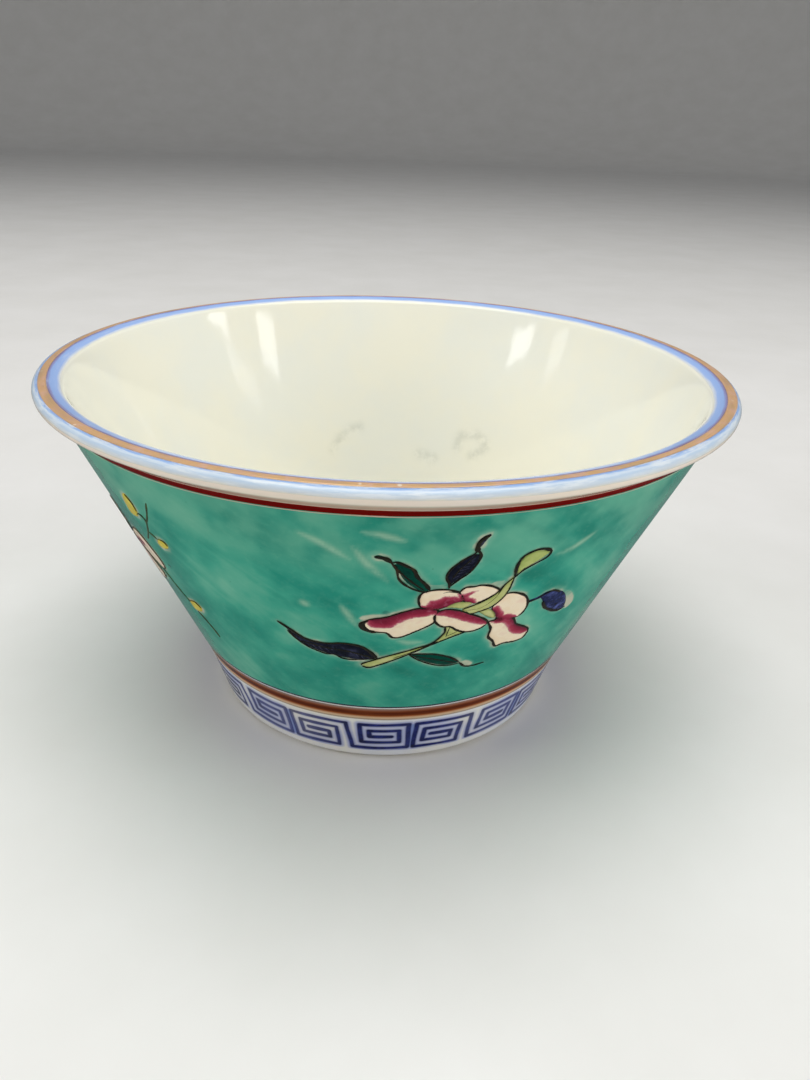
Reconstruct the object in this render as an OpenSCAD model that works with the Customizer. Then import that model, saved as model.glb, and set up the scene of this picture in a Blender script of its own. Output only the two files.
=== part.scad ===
// Footed rice bowl in porcelain, with a flared straight wall, an everted lip
// and painted enamel. The origin is the centre of the foot's bearing ring,
// +Z is up and -Y is the front, where the main flower spray is.
// Azimuths are counted from the front towards +X.

/* [Bowl] */
// Diameter across the lip
rim_d = 124; // [118:1:130]
// Height over all
bowl_h = 65.8; // [62:0.2:72]
// Diameter of the wall where it meets the foot ring
wall_low_d = 75.4; // [72:0.2:80]
// How far the lip stands out past the top of the wall
lip_out = 3.5; // [3:0.1:4.2]
// Height of the lip above the top of the wall
lip_h = 4.2; // [3.8:0.1:5]
// Thickness of the wall with its glaze
wall_t = 2.5; // [2:0.1:3.2]
// Height of the inside floor at its centre
floor_z = 12.6; // [11.5:0.1:14]
// Radius of the curve from the wall to the floor, inside
floor_round = 20; // [14:1:24]

/* [Foot ring] */
// Height of the foot ring on the outside
foot_h = 12.3; // [11:0.1:13]
// Outer diameter of the foot ring at the bottom
foot_d = 68; // [64:0.5:70]
// Inner diameter of the foot ring at the bottom
foot_bore_d = 58.8; // [54:0.2:60]
// Depth of the hollow under the floor
recess_h = 8.3; // [6:0.1:9]

/* [Coats] */
// Thickness of the white glaze
glaze_t = 0.3; // [0.2:0.05:0.4]
// Thickness of an enamel band or of the turquoise ground
enamel_t = 0.2; // [0.15:0.05:0.3]
// Thickness of the flower enamels above the ground
flower_t = 0.3; // [0.2:0.05:0.4]

/* [Bands] */
// Lower edge of the brown line above the foot
brown_z = 12.8; // [12.5:0.1:13]
// Width of the brown line
brown_w = 1.8; // [1:0.1:2]
// Width of the dark line above the brown one
dark_w = 0.35; // [0.3:0.05:0.6]
// Width of the iron-red line under the lip
red_w = 0.85; // [0.5:0.05:1.2]

/* [Key fret] */
// Number of paired spirals round the foot
fret_pairs = 10; // [8:1:10]
// Height of the fret's lower edge
fret_z = 3; // [2.5:0.1:4]
// Distance between two rows of the fret
fret_row = 1.8; // [1.5:0.05:1.8]
// Width of a brush line in the fret
fret_line = 0.65; // [0.3:0.05:0.7]

/* [Hidden] */

// The wall's cone, measured on the glaze
rim_r = rim_d / 2;
wall_low_r = wall_low_d / 2;
wall_top_r = rim_r - lip_out;
wall_top_z = bowl_h - lip_h;
wall_slope = (wall_top_r - wall_low_r) / (wall_top_z - foot_h);
lean = atan(wall_slope);
function wall_r(z) = wall_low_r + (z - foot_h) * wall_slope;
function wall_pt(z, out) = [wall_r(z) + out * cos(lean), z - out * sin(lean)];

// The foot's cone, measured on the glaze
foot_r = foot_d / 2;
foot_start_z = 0.5;
foot_step = 0.1;
foot_slope = (wall_low_r - foot_step - foot_r) / (foot_h - foot_start_z);
foot_lean = atan(foot_slope);
function foot_pt(z, out) =
  [foot_r + (z - foot_start_z) * foot_slope + out * cos(foot_lean), z - out * sin(foot_lean)];

// Points on an arc about [cr, cz]
function arc(cr, cz, r, a0, a1, n) =
  [for (i = [0:n]) [cr + r * cos(a0 + (a1 - a0) * i / n), cz + r * sin(a0 + (a1 - a0) * i / n)]];

// The lip: a round nose, a crown that rises a little inward, then a dip to a soft inner edge
nose_round = 1.1;
nose_drop = 0.25;
crown_w = 1.3;
crown_dip = 0.55;
edge_round = 0.9;
underside_a = -53;
nose_top_a = 79;
crown_a = 103;
edge_z = bowl_h - crown_dip - edge_round;
edge_r = wall_r(edge_z) - wall_t / cos(lean) + edge_round / cos(lean);
nose = arc(rim_r - nose_round, bowl_h - nose_drop - nose_round, nose_round, underside_a, nose_top_a, 8);
edge = arc(edge_r, edge_z, edge_round, crown_a, 180 - lean, 4);
crown_end = [rim_r - nose_round - crown_w, bowl_h];

// The inside: parallel to the wall, then one round down to the floor
tangent_z = floor_z + floor_round * (1 - sin(lean));
bowl_round_r = wall_r(tangent_z) - wall_t / cos(lean) - floor_round * cos(lean);
inside = concat(
  arc(bowl_round_r, floor_z + floor_round, floor_round, -lean, -90, 12),
  [[0, floor_z]]);

// The hollow under the floor, from its centre to the bearing ring
bore_r = foot_bore_d / 2;
recess_round = 2;
recess_flare = 0.8;
bearing_inset = 0.9;
bearing_outset = 1;
under = concat(
  [[0, recess_h]],
  arc(bore_r + recess_flare - recess_round, recess_h - recess_round, recess_round, 90, 0, 4),
  [[bore_r, foot_start_z]]);
bearing = [[bore_r + bearing_inset, 0], [foot_r - bearing_outset, 0]];
outside = [
  foot_pt(foot_start_z, 0), foot_pt(foot_h, 0),
  wall_pt(foot_h + foot_step, 0), wall_pt(wall_top_z, 0)];
lip = concat(nose, [crown_end]);

// Moves a line to its right by t, square to its segments
function turn(v) = [v[1], -v[0]] / norm(v);
function shifted(line, t) = [for (i = [0:len(line) - 1])
  let (a = i == 0 ? turn(line[1] - line[0]) : turn(line[i] - line[i - 1]),
       b = i == len(line) - 1 ? a : turn(line[i + 1] - line[i]))
  line[i] + t * (a + b) / (1 + a * b)];
function backwards(line) = [for (i = [len(line) - 1:-1:0]) line[i]];
function part_of(line, i0, i1) = [for (i = [i0:i1]) line[i]];

// Glaze surface as one line, cut at the middle of the crown
skin = concat(outside, lip, edge, inside);
cut = len(outside) + len(lip) - 1;
clay_skin = shifted(skin, -glaze_t);
clay_under = shifted(under, -glaze_t);

module coat(line, t) {
  rotate_extrude($fn = 96) polygon(concat(line, backwards(shifted(line, t))));
}

// A band of enamel on the skin between two of its points
module skin_band(i0, i1) {
  raised = shifted(skin, enamel_t);
  rotate_extrude($fn = 96)
    polygon(concat(part_of(skin, i0, i1), backwards(part_of(raised, i0, i1))));
}

// A band on the wall's cone, between two heights and two distances from the glaze
module wall_band(z0, z1, t0, t1) {
  rotate_extrude($fn = 96)
    polygon([wall_pt(z0, t0), wall_pt(z0, t1), wall_pt(z1, t1), wall_pt(z1, t0)]);
}

module clay() {
  rotate_extrude($fn = 96) polygon(concat(clay_under, bearing, clay_skin));
}

module clay_bowl() {
  color("ivory") intersection() {
    clay();
    translate([0, 0, recess_h + glaze_t]) cylinder(r = rim_r + 1, h = bowl_h, $fn = 96);
  }
}

module clay_foot_ring() {
  color("linen") intersection() {
    clay();
    cylinder(r = rim_r + 1, h = recess_h + glaze_t, $fn = 96);
  }
}

// White glaze: inside from the crown to the floor, outside from the foot to the
// crown, and under the floor. The bearing ring is left bare.
module inner_glaze() {
  color("floralwhite") rotate_extrude($fn = 96)
    polygon(concat(
      part_of(clay_skin, cut, len(skin) - 1),
      backwards(part_of(skin, cut, len(skin) - 1))));
}

module outer_glaze() {
  color("white") rotate_extrude($fn = 96)
    polygon(concat(part_of(clay_skin, 0, cut), backwards(part_of(skin, 0, cut))));
}

module base_glaze() {
  color("snow") coat(under, -glaze_t);
}

// Enamel bands over the lip, counted along the skin's points
nose_first = len(outside);
blue_low = nose_first + 5;
gilt_low = nose_first + 8;
module rim_blue_outer() { color("lightsteelblue") skin_band(blue_low, gilt_low); }
module rim_gilt() { color("peru") skin_band(gilt_low, cut); }
module rim_blue_inner() { color("cornflowerblue") skin_band(cut, cut + 5); }

// Enamel bands on the wall
dark_gap = 0.75;
red_gap = 0.05;
dark_z = brown_z + brown_w + dark_gap;
ground_z0 = dark_z + dark_w;
red_z = wall_top_z - red_w;
module brown_line() { color("saddlebrown") wall_band(brown_z, brown_z + brown_w, 0, enamel_t); }
module dark_line() { color("midnightblue") wall_band(dark_z, ground_z0, 0, enamel_t); }
module turquoise_ground() { color("lightseagreen") wall_band(ground_z0, red_z, 0, enamel_t); }
module red_line() { color("maroon") wall_band(red_z, wall_top_z - red_gap, 0, enamel_t); }

// Key fret: each pair is one brush line that winds in from a link at the middle
// to a spiral on the right, and the same line turned half round on the left
fret_h = 4 * fret_row;
unit_l = 2.1;
unit_r = 10.65;
inset = 1.6;
fret_path = [
  [-0.35, 4], [0.35, 0], [unit_r, 0], [unit_r, 4], [unit_l, 4], [unit_l, 1],
  [unit_r - inset, 1], [unit_r - inset, 3], [unit_l + inset, 3],
  [unit_l + inset, 2], [unit_r - 2 * inset + 0.2, 2]];

module brush_bar(p, q, w) {
  d = q - p;
  translate(p) rotate([0, 0, atan2(d[1], d[0])]) translate([-w / 2, -w / 2]) square([norm(d) + w, w]);
}

module fret_spiral() {
  for (i = [0:len(fret_path) - 2])
    brush_bar([fret_path[i][0], fret_path[i][1] * fret_row - fret_h / 2],
              [fret_path[i + 1][0], fret_path[i + 1][1] * fret_row - fret_h / 2], fret_line);
}

module foot_shell() {
  rotate_extrude($fn = 96) polygon([
    foot_pt(fret_z - 1, 0), foot_pt(fret_z - 1, enamel_t),
    foot_pt(fret_z + fret_h + 1, enamel_t), foot_pt(fret_z + fret_h + 1, 0)]);
}

fret_turn = -9;
fret_reach = 4;
module key_fret() {
  mid = foot_pt(fret_z + fret_h / 2, 0);
  color("navy") intersection() {
    foot_shell();
    for (i = [0:fret_pairs - 1])
      rotate([0, 0, fret_turn + i * 360 / fret_pairs]) translate([0, -mid[0], mid[1]])
        rotate([90 + foot_lean, 0, 0]) translate([0, 0, -fret_reach]) linear_extrude(2 * fret_reach) union() {
          fret_spiral();
          rotate([0, 0, 180]) fret_spiral();
        }
  }
}

// Flower enamels are drawn flat, in millimetres to the right and up, on the plane
// that touches the wall at the spray's middle, and are cut from a thin cone
spray_z = 41;
spray_in = 14;
spray_out = 4;
module flower_shell(level) {
  rotate_extrude($fn = 96) polygon([
    wall_pt(ground_z0, enamel_t + level * flower_t),
    wall_pt(ground_z0, enamel_t + (level + 1) * flower_t),
    wall_pt(red_z - 1, enamel_t + (level + 1) * flower_t),
    wall_pt(red_z - 1, enamel_t + level * flower_t)]);
}

module on_wall(az, level) {
  intersection() {
    flower_shell(level);
    rotate([0, 0, az]) translate([0, -wall_r(spray_z), spray_z])
      rotate([90 + lean, 0, 0]) translate([0, 0, -spray_in]) linear_extrude(spray_in + spray_out) children();
  }
}

// A closed smooth outline through a few points
function at(p, i) = p[(i + len(p)) % len(p)];
function spline(a, b, c, d, t) =
  0.5 * (2 * b + (c - a) * t + (2 * a - 5 * b + 4 * c - d) * t * t + (3 * b - a - 3 * c + d) * t * t * t);
function smooth(p, n) = [for (i = [0:len(p) - 1], k = [0:n - 1])
  spline(at(p, i - 1), at(p, i), at(p, i + 1), at(p, i + 2), k / n)];
module shape(p) { polygon(smooth(p, 3)); }

// The open flower: six petals round a lime throat
petals = [
  [[-1.4, 1.7], [-2, 2.6], [-2.2, 4], [-1.8, 5.2], [-0.8, 5.7], [0.4, 5.9], [2, 5.7], [3.4, 5],
   [4.2, 3.9], [4.4, 2.8], [2, 1.6], [0.4, 1.2]],
  [[3.7, 4.9], [4.4, 5.9], [5.7, 5.9], [6.8, 6], [8.5, 5.3], [9.7, 3.8], [7.4, 2], [5.8, 1.9],
   [4.4, 2.8], [4.2, 3.9]],
  [[9.4, -0.2], [9.9, 0.8], [10.4, 2.2], [11.3, 2.7], [12.6, 2.4], [14.3, 1.1], [15.2, -0.5],
   [15.5, -2.4], [14.9, -4.2], [13.4, -4.5], [10.8, -3.4], [9.9, -2]],
  [[-9.8, -3.2], [-9, -1.8], [-6.5, -0.8], [-3.8, 0.8], [-1.4, 1.6], [0.9, 0.9], [0.6, -0.6],
   [0.7, -2.2], [-0.8, -3.6], [-2, -4.5], [-3.9, -5.9], [-5.2, -6], [-6.2, -4.9], [-7.7, -4.8],
   [-9.3, -4.3]],
  [[1.2, 0.6], [2.4, 0.9], [4.2, 0.3], [6.3, -1.1], [7.9, -2.3], [9.2, -3.8], [8.8, -5], [7.4, -5.7],
   [5.8, -5.6], [4.4, -4.7], [3.4, -3.7], [2.2, -3.5], [1.2, -2.6], [0.7, -1.4], [0.7, -0.2]],
  [[9.5, -4.1], [10.4, -3.9], [10.9, -3.3], [12.4, -3.6], [13.7, -4.8], [14.6, -6.8], [16.8, -9],
   [17.4, -10.3], [17, -12.1], [15.4, -12.3], [13.3, -11.7], [12, -11.9], [11.2, -10], [10.2, -8.4],
   [10.2, -6.1]]];
blush = [
  [[-1.5, 2.1], [-0.7, 3.5], [0.5, 3.9], [1.5, 4.5], [2.6, 4.5], [4, 4.1], [5, 4], [5.2, 2.6], [2, 0.6],
   [0, 0.4], [-2.2, 1.2]],
  [[3.2, 5.2], [4.4, 4.7], [5.4, 5.1], [6.8, 5], [6, 4.3], [5.4, 3.8], [6.2, 3.4], [6.7, 2.4],
   [6.6, 1.4], [4.6, 1.4], [3.4, 3]],
  [[8.6, -0.6], [9.6, 0.2], [10.1, 0.5], [10.9, -0.3], [11.7, -1.9], [12.2, -3.4], [12.4, -5],
   [10, -4.6], [8.8, -2.4]],
  [[-9.5, -2.4], [-9, -3.4], [-8.2, -3.8], [-5.6, -3.6], [-4.4, -2.4], [-2.8, -1.1], [-1.1, -0.8],
   [0.6, -0.2], [1.6, 0.4], [0.6, 2], [-1.6, 2.6], [-4.2, 1.8], [-7, 0.2], [-9.6, -0.9]],
  [[0.2, -0.2], [1, -0.6], [2.2, -0.9], [3.9, -1.9], [5.4, -2.8], [7, -3.9], [8.4, -4.5], [9.8, -4.6],
   [9.6, -3], [8, -1.4], [6.2, -0.2], [4, 1.2], [1.8, 1.6], [0.2, 0.8]],
  [[10, -4.6], [10.7, -5.1], [11.8, -5.3], [12.8, -6.8], [13.7, -8.7], [15.2, -10.2], [16.8, -10.7],
   [18.2, -10.2], [17.6, -8.4], [15.4, -6], [14.2, -3.8], [12.2, -2.6], [9.8, -3]]];
throats = [
  [[2, 1.4], [3.7, 2.5], [6, 1.9], [4.8, 0.7], [3.1, 1.1]],
  [[7.2, -0.4], [9, -0.5], [10.2, -2.1], [10.3, -3.3], [9.1, -2.7]]];
stem_up = [
  [11.6, 6.8], [10.4, 5.2], [9.4, 3.4], [7.4, 1.8], [4.7, 0.6], [5.4, -0.4], [6.3, -0.9], [9.1, 0],
  [10.6, 1.7], [11.3, 3.6]];
stem_down = [
  [2.6, -3.4], [4.3, -4.4], [6.1, -5.5], [4.1, -6.5], [1.1, -8.2], [-2.3, -10.7], [-6.7, -14],
  [-8.2, -14.9], [-9.2, -14.7], [-9.2, -13.9], [-5.7, -11.4], [-1.6, -9.2], [1, -7.8], [2.6, -5.4]];
lime_leaf = [
  [11.8, 7.2], [11.6, 9.3], [12.3, 11.1], [14, 11.7], [16.2, 10.9], [15.8, 10], [14.4, 9], [13, 8.2]];
navy_leaves = [
  [[1.8, 7], [1.3, 9], [1.8, 10.6], [3, 12.1], [4.5, 13.3], [5.4, 12.9], [5.2, 11.2], [4.3, 9.4], [3.1, 8]],
  [[4.7, 14.2], [4.5, 15.6], [5.1, 16.8], [6.2, 17.3], [5.7, 15.9], [5.2, 14.8]],
  [[-22.2, -7.1], [-20.8, -8], [-19.5, -9], [-17.6, -9.9], [-14.9, -9.7], [-12.5, -9], [-10, -9.2],
   [-8.6, -10.1], [-7.2, -12], [-9.4, -12.9], [-11.8, -13], [-14.8, -12.6], [-17.7, -11.8],
   [-19.5, -10.4], [-20.8, -8.7]]];
green_leaves = [
  [[-6.3, 11.4], [-5.5, 11.9], [-4.4, 11.1], [-3.2, 9.7], [-2.5, 8.4], [-1.6, 7.3], [-1, 5.8], [-1.8, 5.6],
   [-2.9, 6.2], [-4.2, 7.5], [-5.1, 8.9], [-5.6, 10.4]],
  [[-9.1, 13], [-8.5, 13.4], [-7.6, 13], [-7, 12.2], [-7.9, 12.4], [-8.9, 12.6]],
  [[-1.9, -10.9], [0.5, -11], [2.4, -11.6], [4.5, -12.7], [6.2, -14.4], [4.7, -14.8], [2.6, -14.3],
   [0, -12.8], [-1.2, -11.7]]];
bud = [[17.6, -0.8], [18.9, -0.3], [20.6, -1.1], [22.3, -2.9], [23.4, -5.6], [23.6, -7.8], [22.4, -7.9],
       [20.8, -6.6], [19.4, -5], [18.4, -2.9]];
bud_stem = [[15.4, -1], [16.6, -0.9], [17.9, -0.6], [18.2, -1.4], [16.7, -1.6], [15.5, -1.7]];

module blossom_lines() {
  shape(stem_up);
  for (p = throats) shape(p);
}
module open_petals(az) {
  color("bisque") on_wall(az, 0) difference() {
    union() for (p = petals) shape(p);
    blossom_lines();
  }
}
module petal_blush(az) {
  color("mediumvioletred") on_wall(az, 1) difference() {
    intersection() {
      union() for (p = blush) shape(p);
      union() for (p = petals) shape(p);
    }
    blossom_lines();
  }
}
module throat(az) {
  color("darkkhaki") on_wall(az, 0) difference() {
    union() for (p = throats) shape(p);
    shape(stem_up);
  }
}
module flower_stem(az) {
  color("yellowgreen") on_wall(az, 0) {
    shape(stem_up);
    difference() {
      shape(stem_down);
      for (p = petals) shape(p);
      for (p = navy_leaves) shape(p);
      for (p = green_leaves) shape(p);
    }
  }
}
module lime_leaf(az) { color("olivedrab") on_wall(az, 0) shape(lime_leaf); }
module navy_leaves(az) { color("darkslateblue") on_wall(az, 0) for (p = navy_leaves) shape(p); }
module green_leaves(az) { color("darkgreen") on_wall(az, 0) for (p = green_leaves) shape(p); }
module blue_bud(az) {
  color("royalblue") on_wall(az, 0) union() {
    shape(bud);
    shape(bud_stem);
  }
}

// The bud spray: yellow buds on thin twigs beside one small blossom
yellow_buds = [
  [[13.4, 13.3], [14.8, 13.8], [15.4, 12.4], [15.2, 10.6], [13.8, 9], [12, 9.4], [12.4, 11.2]],
  [[15.2, 4.2], [16.2, 5.2], [17.6, 5.2], [18.1, 4.3], [17, 3.3], [15.7, 3.3]],
  [[11.4, -11.4], [12, -10.2], [13.8, -9.9], [14.8, -10.9], [13.7, -12.3], [12, -12.5]],
  [[-12.6, 6.4], [-11, 7.4], [-9.8, 5.8], [-10.6, 3.8], [-12.2, 4.4]]];
blossom = [
  [[-0.2, 1.2], [-1.8, 3.2], [-2.6, 6], [-0.8, 7.4], [1.2, 5.6], [1.2, 2.6]],
  [[2, 0.4], [4.8, 3.2], [7.6, 3.6], [9.6, 1.4], [10.6, -2], [9.2, -4], [5, -1.8]],
  [[1.6, -1.6], [4.8, -3.2], [6.6, -6.2], [4.4, -8.6], [1.2, -7.4], [0, -4]],
  [[-1, -1.2], [-2, -4.6], [-5.4, -6.6], [-8, -4.8], [-7.2, -1.8], [-3.8, -0.4]],
  [[-1.2, 0.4], [-4.6, 0.8], [-7.4, 3.2], [-6.4, 5.8], [-3.8, 5.4], [-2.2, 2.6]]];
blossom_marks = [
  [[-0.3, 2.2], [-1.4, 4.4], [-0.8, 5.8], [0.4, 3.8]],
  [[3.2, 0.6], [5.4, 2], [7.8, 1], [5.6, -0.6]],
  [[1.8, -2.4], [3.8, -3.8], [3.8, -6], [1.8, -4.6]],
  [[-1.8, -2.2], [-3, -4.2], [-5.4, -4.2], [-4, -2]],
  [[-2.4, 1], [-4.4, 1.8], [-5.2, 3.8], [-3.2, 3]]];
twigs = [
  [[13, 9], [15.2, 10], [16.1, 8.8], [14, 6], [11.6, 3.6]],
  [[16.2, 8.6], [18.2, 10.8], [20.4, 13.6]],
  [[14, 6], [15, 5.6], [15.8, 5]],
  [[8.4, -4.6], [9.4, -7.4], [11.4, -11]],
  [[12.2, -12.8], [13.7, -15.8], [14.3, -18.5]],
  [[-7.6, 2.2], [-9.4, 3.2], [-10.6, 4]]];
twig_w = 0.5;

module twig_lines() {
  for (p = twigs) for (i = [0:len(p) - 2]) brush_bar(p[i], p[i + 1], twig_w);
}
module buds(az) { color("khaki") on_wall(az, 0) for (p = yellow_buds) shape(p); }
module small_blossom(az) { color("antiquewhite") on_wall(az, 0) for (p = blossom) shape(p); }
module small_blossom_blush(az) { color("palevioletred") on_wall(az, 1) for (p = blossom_marks) shape(p); }
module bare_twigs(az) {
  color("darkolivegreen") on_wall(az, 0) difference() {
    twig_lines();
    for (p = blossom) shape(p);
    for (p = yellow_buds) shape(p);
  }
}

front_az = 8;
back_az = 172;
left_az = -60;
right_az = 90;
clay_bowl();
clay_foot_ring();
inner_glaze();
outer_glaze();
base_glaze();
rim_blue_inner();
rim_gilt();
rim_blue_outer();
red_line();
turquoise_ground();
dark_line();
brown_line();
key_fret();
open_petals(front_az);  // front_petals
petal_blush(front_az);  // front_petal_blush
throat(front_az);  // front_throat
flower_stem(front_az);  // front_stem
lime_leaf(front_az);  // front_lime_leaf
navy_leaves(front_az);  // front_navy_leaves
green_leaves(front_az);  // front_green_leaves
blue_bud(front_az);  // front_bud
open_petals(back_az);  // back_petals
petal_blush(back_az);  // back_petal_blush
throat(back_az);  // back_throat
flower_stem(back_az);  // back_stem
lime_leaf(back_az);  // back_lime_leaf
navy_leaves(back_az);  // back_navy_leaves
green_leaves(back_az);  // back_green_leaves
blue_bud(back_az);  // back_bud
buds(left_az);  // left_yellow_buds
small_blossom(left_az);  // left_blossom
small_blossom_blush(left_az);  // left_blossom_blush
bare_twigs(left_az);  // left_twigs
buds(right_az);  // right_yellow_buds
small_blossom(right_az);  // right_blossom
small_blossom_blush(right_az);  // right_blossom_blush
bare_twigs(right_az);  // right_twigs
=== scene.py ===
"""Porcelain rice bowl: the glazes and enamels that lie on the packed clay.

Lengths on the bowl are millimetres, and become metres as a mesh is made. The floor, the
lights and the camera are in metres. A place on the bowl is a distance s along a profile
line, an azimuth from the front (-Y) towards +X, and a lift above the glaze.
"""

import math

import bpy
import numpy as np
from mathutils import Matrix, Vector
from mathutils.geometry import delaunay_2d_cdt


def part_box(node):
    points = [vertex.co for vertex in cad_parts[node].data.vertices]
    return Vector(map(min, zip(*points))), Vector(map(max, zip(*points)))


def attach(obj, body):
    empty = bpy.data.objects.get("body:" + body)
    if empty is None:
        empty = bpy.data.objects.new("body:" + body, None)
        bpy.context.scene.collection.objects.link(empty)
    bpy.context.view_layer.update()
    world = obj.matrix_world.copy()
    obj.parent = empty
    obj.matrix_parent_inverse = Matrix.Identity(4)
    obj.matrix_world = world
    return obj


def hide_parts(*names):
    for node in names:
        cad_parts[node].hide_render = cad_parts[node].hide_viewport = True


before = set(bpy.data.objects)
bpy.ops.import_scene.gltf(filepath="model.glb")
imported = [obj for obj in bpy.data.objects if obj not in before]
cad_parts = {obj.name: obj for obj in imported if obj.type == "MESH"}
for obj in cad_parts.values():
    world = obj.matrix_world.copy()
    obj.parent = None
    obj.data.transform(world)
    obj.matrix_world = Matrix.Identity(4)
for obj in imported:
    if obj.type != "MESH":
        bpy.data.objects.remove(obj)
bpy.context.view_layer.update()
MM = 0.001
SINK = 0.05  # how far a painted piece's underside lies in the glaze
GLAZE_DEPTH = 0.25  # how far a glaze's underside lies below its surface


# ---------------------------------------------------------------- design sizes
def low(node):
    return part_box(node)[0].z / MM


def high(node):
    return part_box(node)[1].z / MM


RIM_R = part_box("outer_glaze")[1].x / MM
BOWL_H = high("inner_glaze")
FOOT_R = 34.0
FOOT_H = 12.3
FOOT_START_Z = 0.5
FOOT_STEP = 0.1
RECESS_FLARE = 0.8
PROFILE_SOFT = 0.3
BORE_R = 29.4
RECESS_H = 8.3
RECESS_ROUND = 2.0
WALL_LOW_R = 37.7
LIP_OUT = 3.5
LIP_H = 4.2
WALL_T = 2.5
FLOOR_Z = 12.6
FLOOR_ROUND = 20.0
NOSE_ROUND = 1.1
NOSE_FROM_A = -53
NOSE_TO_A = 79
CROWN_A = 103
NOSE_DROP = 0.25
CROWN_W = 1.3
CROWN_DIP = 0.55
EDGE_ROUND = 0.9

WALL_TOP_R = RIM_R - LIP_OUT
WALL_TOP_Z = BOWL_H - LIP_H
SLOPE = (WALL_TOP_R - WALL_LOW_R) / (WALL_TOP_Z - FOOT_H)
LEAN = math.atan(SLOPE)


def wall_r(z):
    return WALL_LOW_R + (z - FOOT_H) * SLOPE


# ---------------------------------------------------------------- profile lines
def arc(cr, cz, r, a0, a1, n):
    a = np.radians(np.linspace(a0, a1, n + 1))
    return np.stack([cr + r * np.cos(a), cz + r * np.sin(a)], -1)


class Line:
    """A profile in the (r, z) plane, evenly sampled and softened, with the air on its right."""

    STEP = 0.05

    def __init__(self, corners, soft):
        corners = np.asarray(corners, float)
        run = np.concatenate([[0], np.cumsum(np.hypot(*np.diff(corners, axis=0).T))])
        s = np.linspace(0, run[-1], int(run[-1] / self.STEP) + 1)
        p = np.stack([np.interp(s, run, corners[:, k]) for k in (0, 1)], -1)
        reach = int(4 * soft / self.STEP)
        weight = np.exp(-0.5 * (np.arange(-reach, reach + 1) * self.STEP / soft) ** 2)
        weight /= weight.sum()
        before = 2 * p[0] - p[reach:0:-1]
        after = 2 * p[-1] - p[-2:-reach - 2:-1]
        padded = np.concatenate([before, p, after])
        p = np.stack([np.convolve(padded[:, k], weight, "valid") for k in (0, 1)], -1)
        along = np.gradient(p, axis=0)
        along /= np.hypot(*along.T)[:, None]
        self.s = np.concatenate([[0], np.cumsum(np.hypot(*np.diff(p, axis=0).T))])
        self.p = p
        self.n = np.stack([along[:, 1], -along[:, 0]], -1)
        self.length = self.s[-1]

    def at(self, s):
        r, z = (np.interp(s, self.s, self.p[:, k]) for k in (0, 1))
        nr, nz = (np.interp(s, self.s, self.n[:, k]) for k in (0, 1))
        return r, z, nr, nz

    def where(self, r, z):
        return self.s[np.argmin(np.hypot(self.p[:, 0] - r, self.p[:, 1] - z))]


def rows_between(s0, s1, step):
    return np.linspace(s0, s1, max(2, int(abs(s1 - s0) / step) + 1))


edge_z = BOWL_H - CROWN_DIP - EDGE_ROUND
edge_r = wall_r(edge_z) - (WALL_T - EDGE_ROUND) / math.cos(LEAN)
bend_z = FLOOR_Z + FLOOR_ROUND * (1 - math.sin(LEAN))
bend_r = wall_r(bend_z) - WALL_T / math.cos(LEAN) - FLOOR_ROUND * math.cos(LEAN)
lean_deg = math.degrees(LEAN)
skin = Line(
    np.concatenate([
        [(FOOT_R, FOOT_START_Z), (WALL_LOW_R - FOOT_STEP, FOOT_H), (WALL_TOP_R, WALL_TOP_Z)],
        arc(RIM_R - NOSE_ROUND, BOWL_H - NOSE_DROP - NOSE_ROUND, NOSE_ROUND, NOSE_FROM_A, NOSE_TO_A, 24),
        [(RIM_R - NOSE_ROUND - CROWN_W, BOWL_H)],
        arc(edge_r, edge_z, EDGE_ROUND, CROWN_A, 180 - lean_deg, 12),
        arc(bend_r, FLOOR_Z + FLOOR_ROUND, FLOOR_ROUND, -lean_deg, -90, 60),
        [(0, FLOOR_Z)],
    ]), PROFILE_SOFT)
under = Line(
    np.concatenate([
        [(0, RECESS_H)],
        arc(BORE_R + RECESS_FLARE - RECESS_ROUND, RECESS_H - RECESS_ROUND, RECESS_ROUND, 90, 0, 16),
        [(BORE_R, FOOT_START_Z)],
    ]), PROFILE_SOFT)

s_foot_top = skin.where(WALL_LOW_R, FOOT_H)
s_wall_top = skin.where(WALL_TOP_R, WALL_TOP_Z)
s_nose = skin.where(RIM_R, BOWL_H - NOSE_DROP - NOSE_ROUND)
s_crown = skin.where(RIM_R - NOSE_ROUND - CROWN_W, BOWL_H)
s_gilt = skin.where(RIM_R - NOSE_ROUND, BOWL_H - NOSE_DROP)
s_edge = skin.where(edge_r - EDGE_ROUND * 0.5, edge_z + EDGE_ROUND * 0.86)


def s_wall(z):
    """Distance along the skin at height z on the wall's cone."""
    return s_foot_top + (z - FOOT_H) / math.cos(LEAN)


def s_foot(z):
    """Distance along the skin at height z on the foot's cone."""
    return (z - FOOT_START_Z) / (FOOT_H - FOOT_START_Z) * s_foot_top


# ---------------------------------------------------------------- meshes on the bowl
def settle(az, r, z):
    """How far the fired bowl is out of round, with faint throwing waves."""
    k = np.clip(z / BOWL_H, 0, 1) * np.clip(r / 12, 0, 1)
    slow = 0.07 * np.sin(2 * az + 0.7) + 0.05 * np.sin(3 * az + 2.1 + 0.03 * z)
    quick = 0.016 * np.sin(7 * az + 0.13 * z) + 0.012 * np.sin(11 * az - 0.21 * z + 1)
    return k * (slow + quick)


def place(line, s, az, lift):
    r, z, nr, nz = line.at(s)
    out = r + lift * nr + settle(az, r, z)
    return np.stack([out * np.sin(az), -out * np.cos(az), z + lift * nz + 0 * az], -1)


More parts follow.
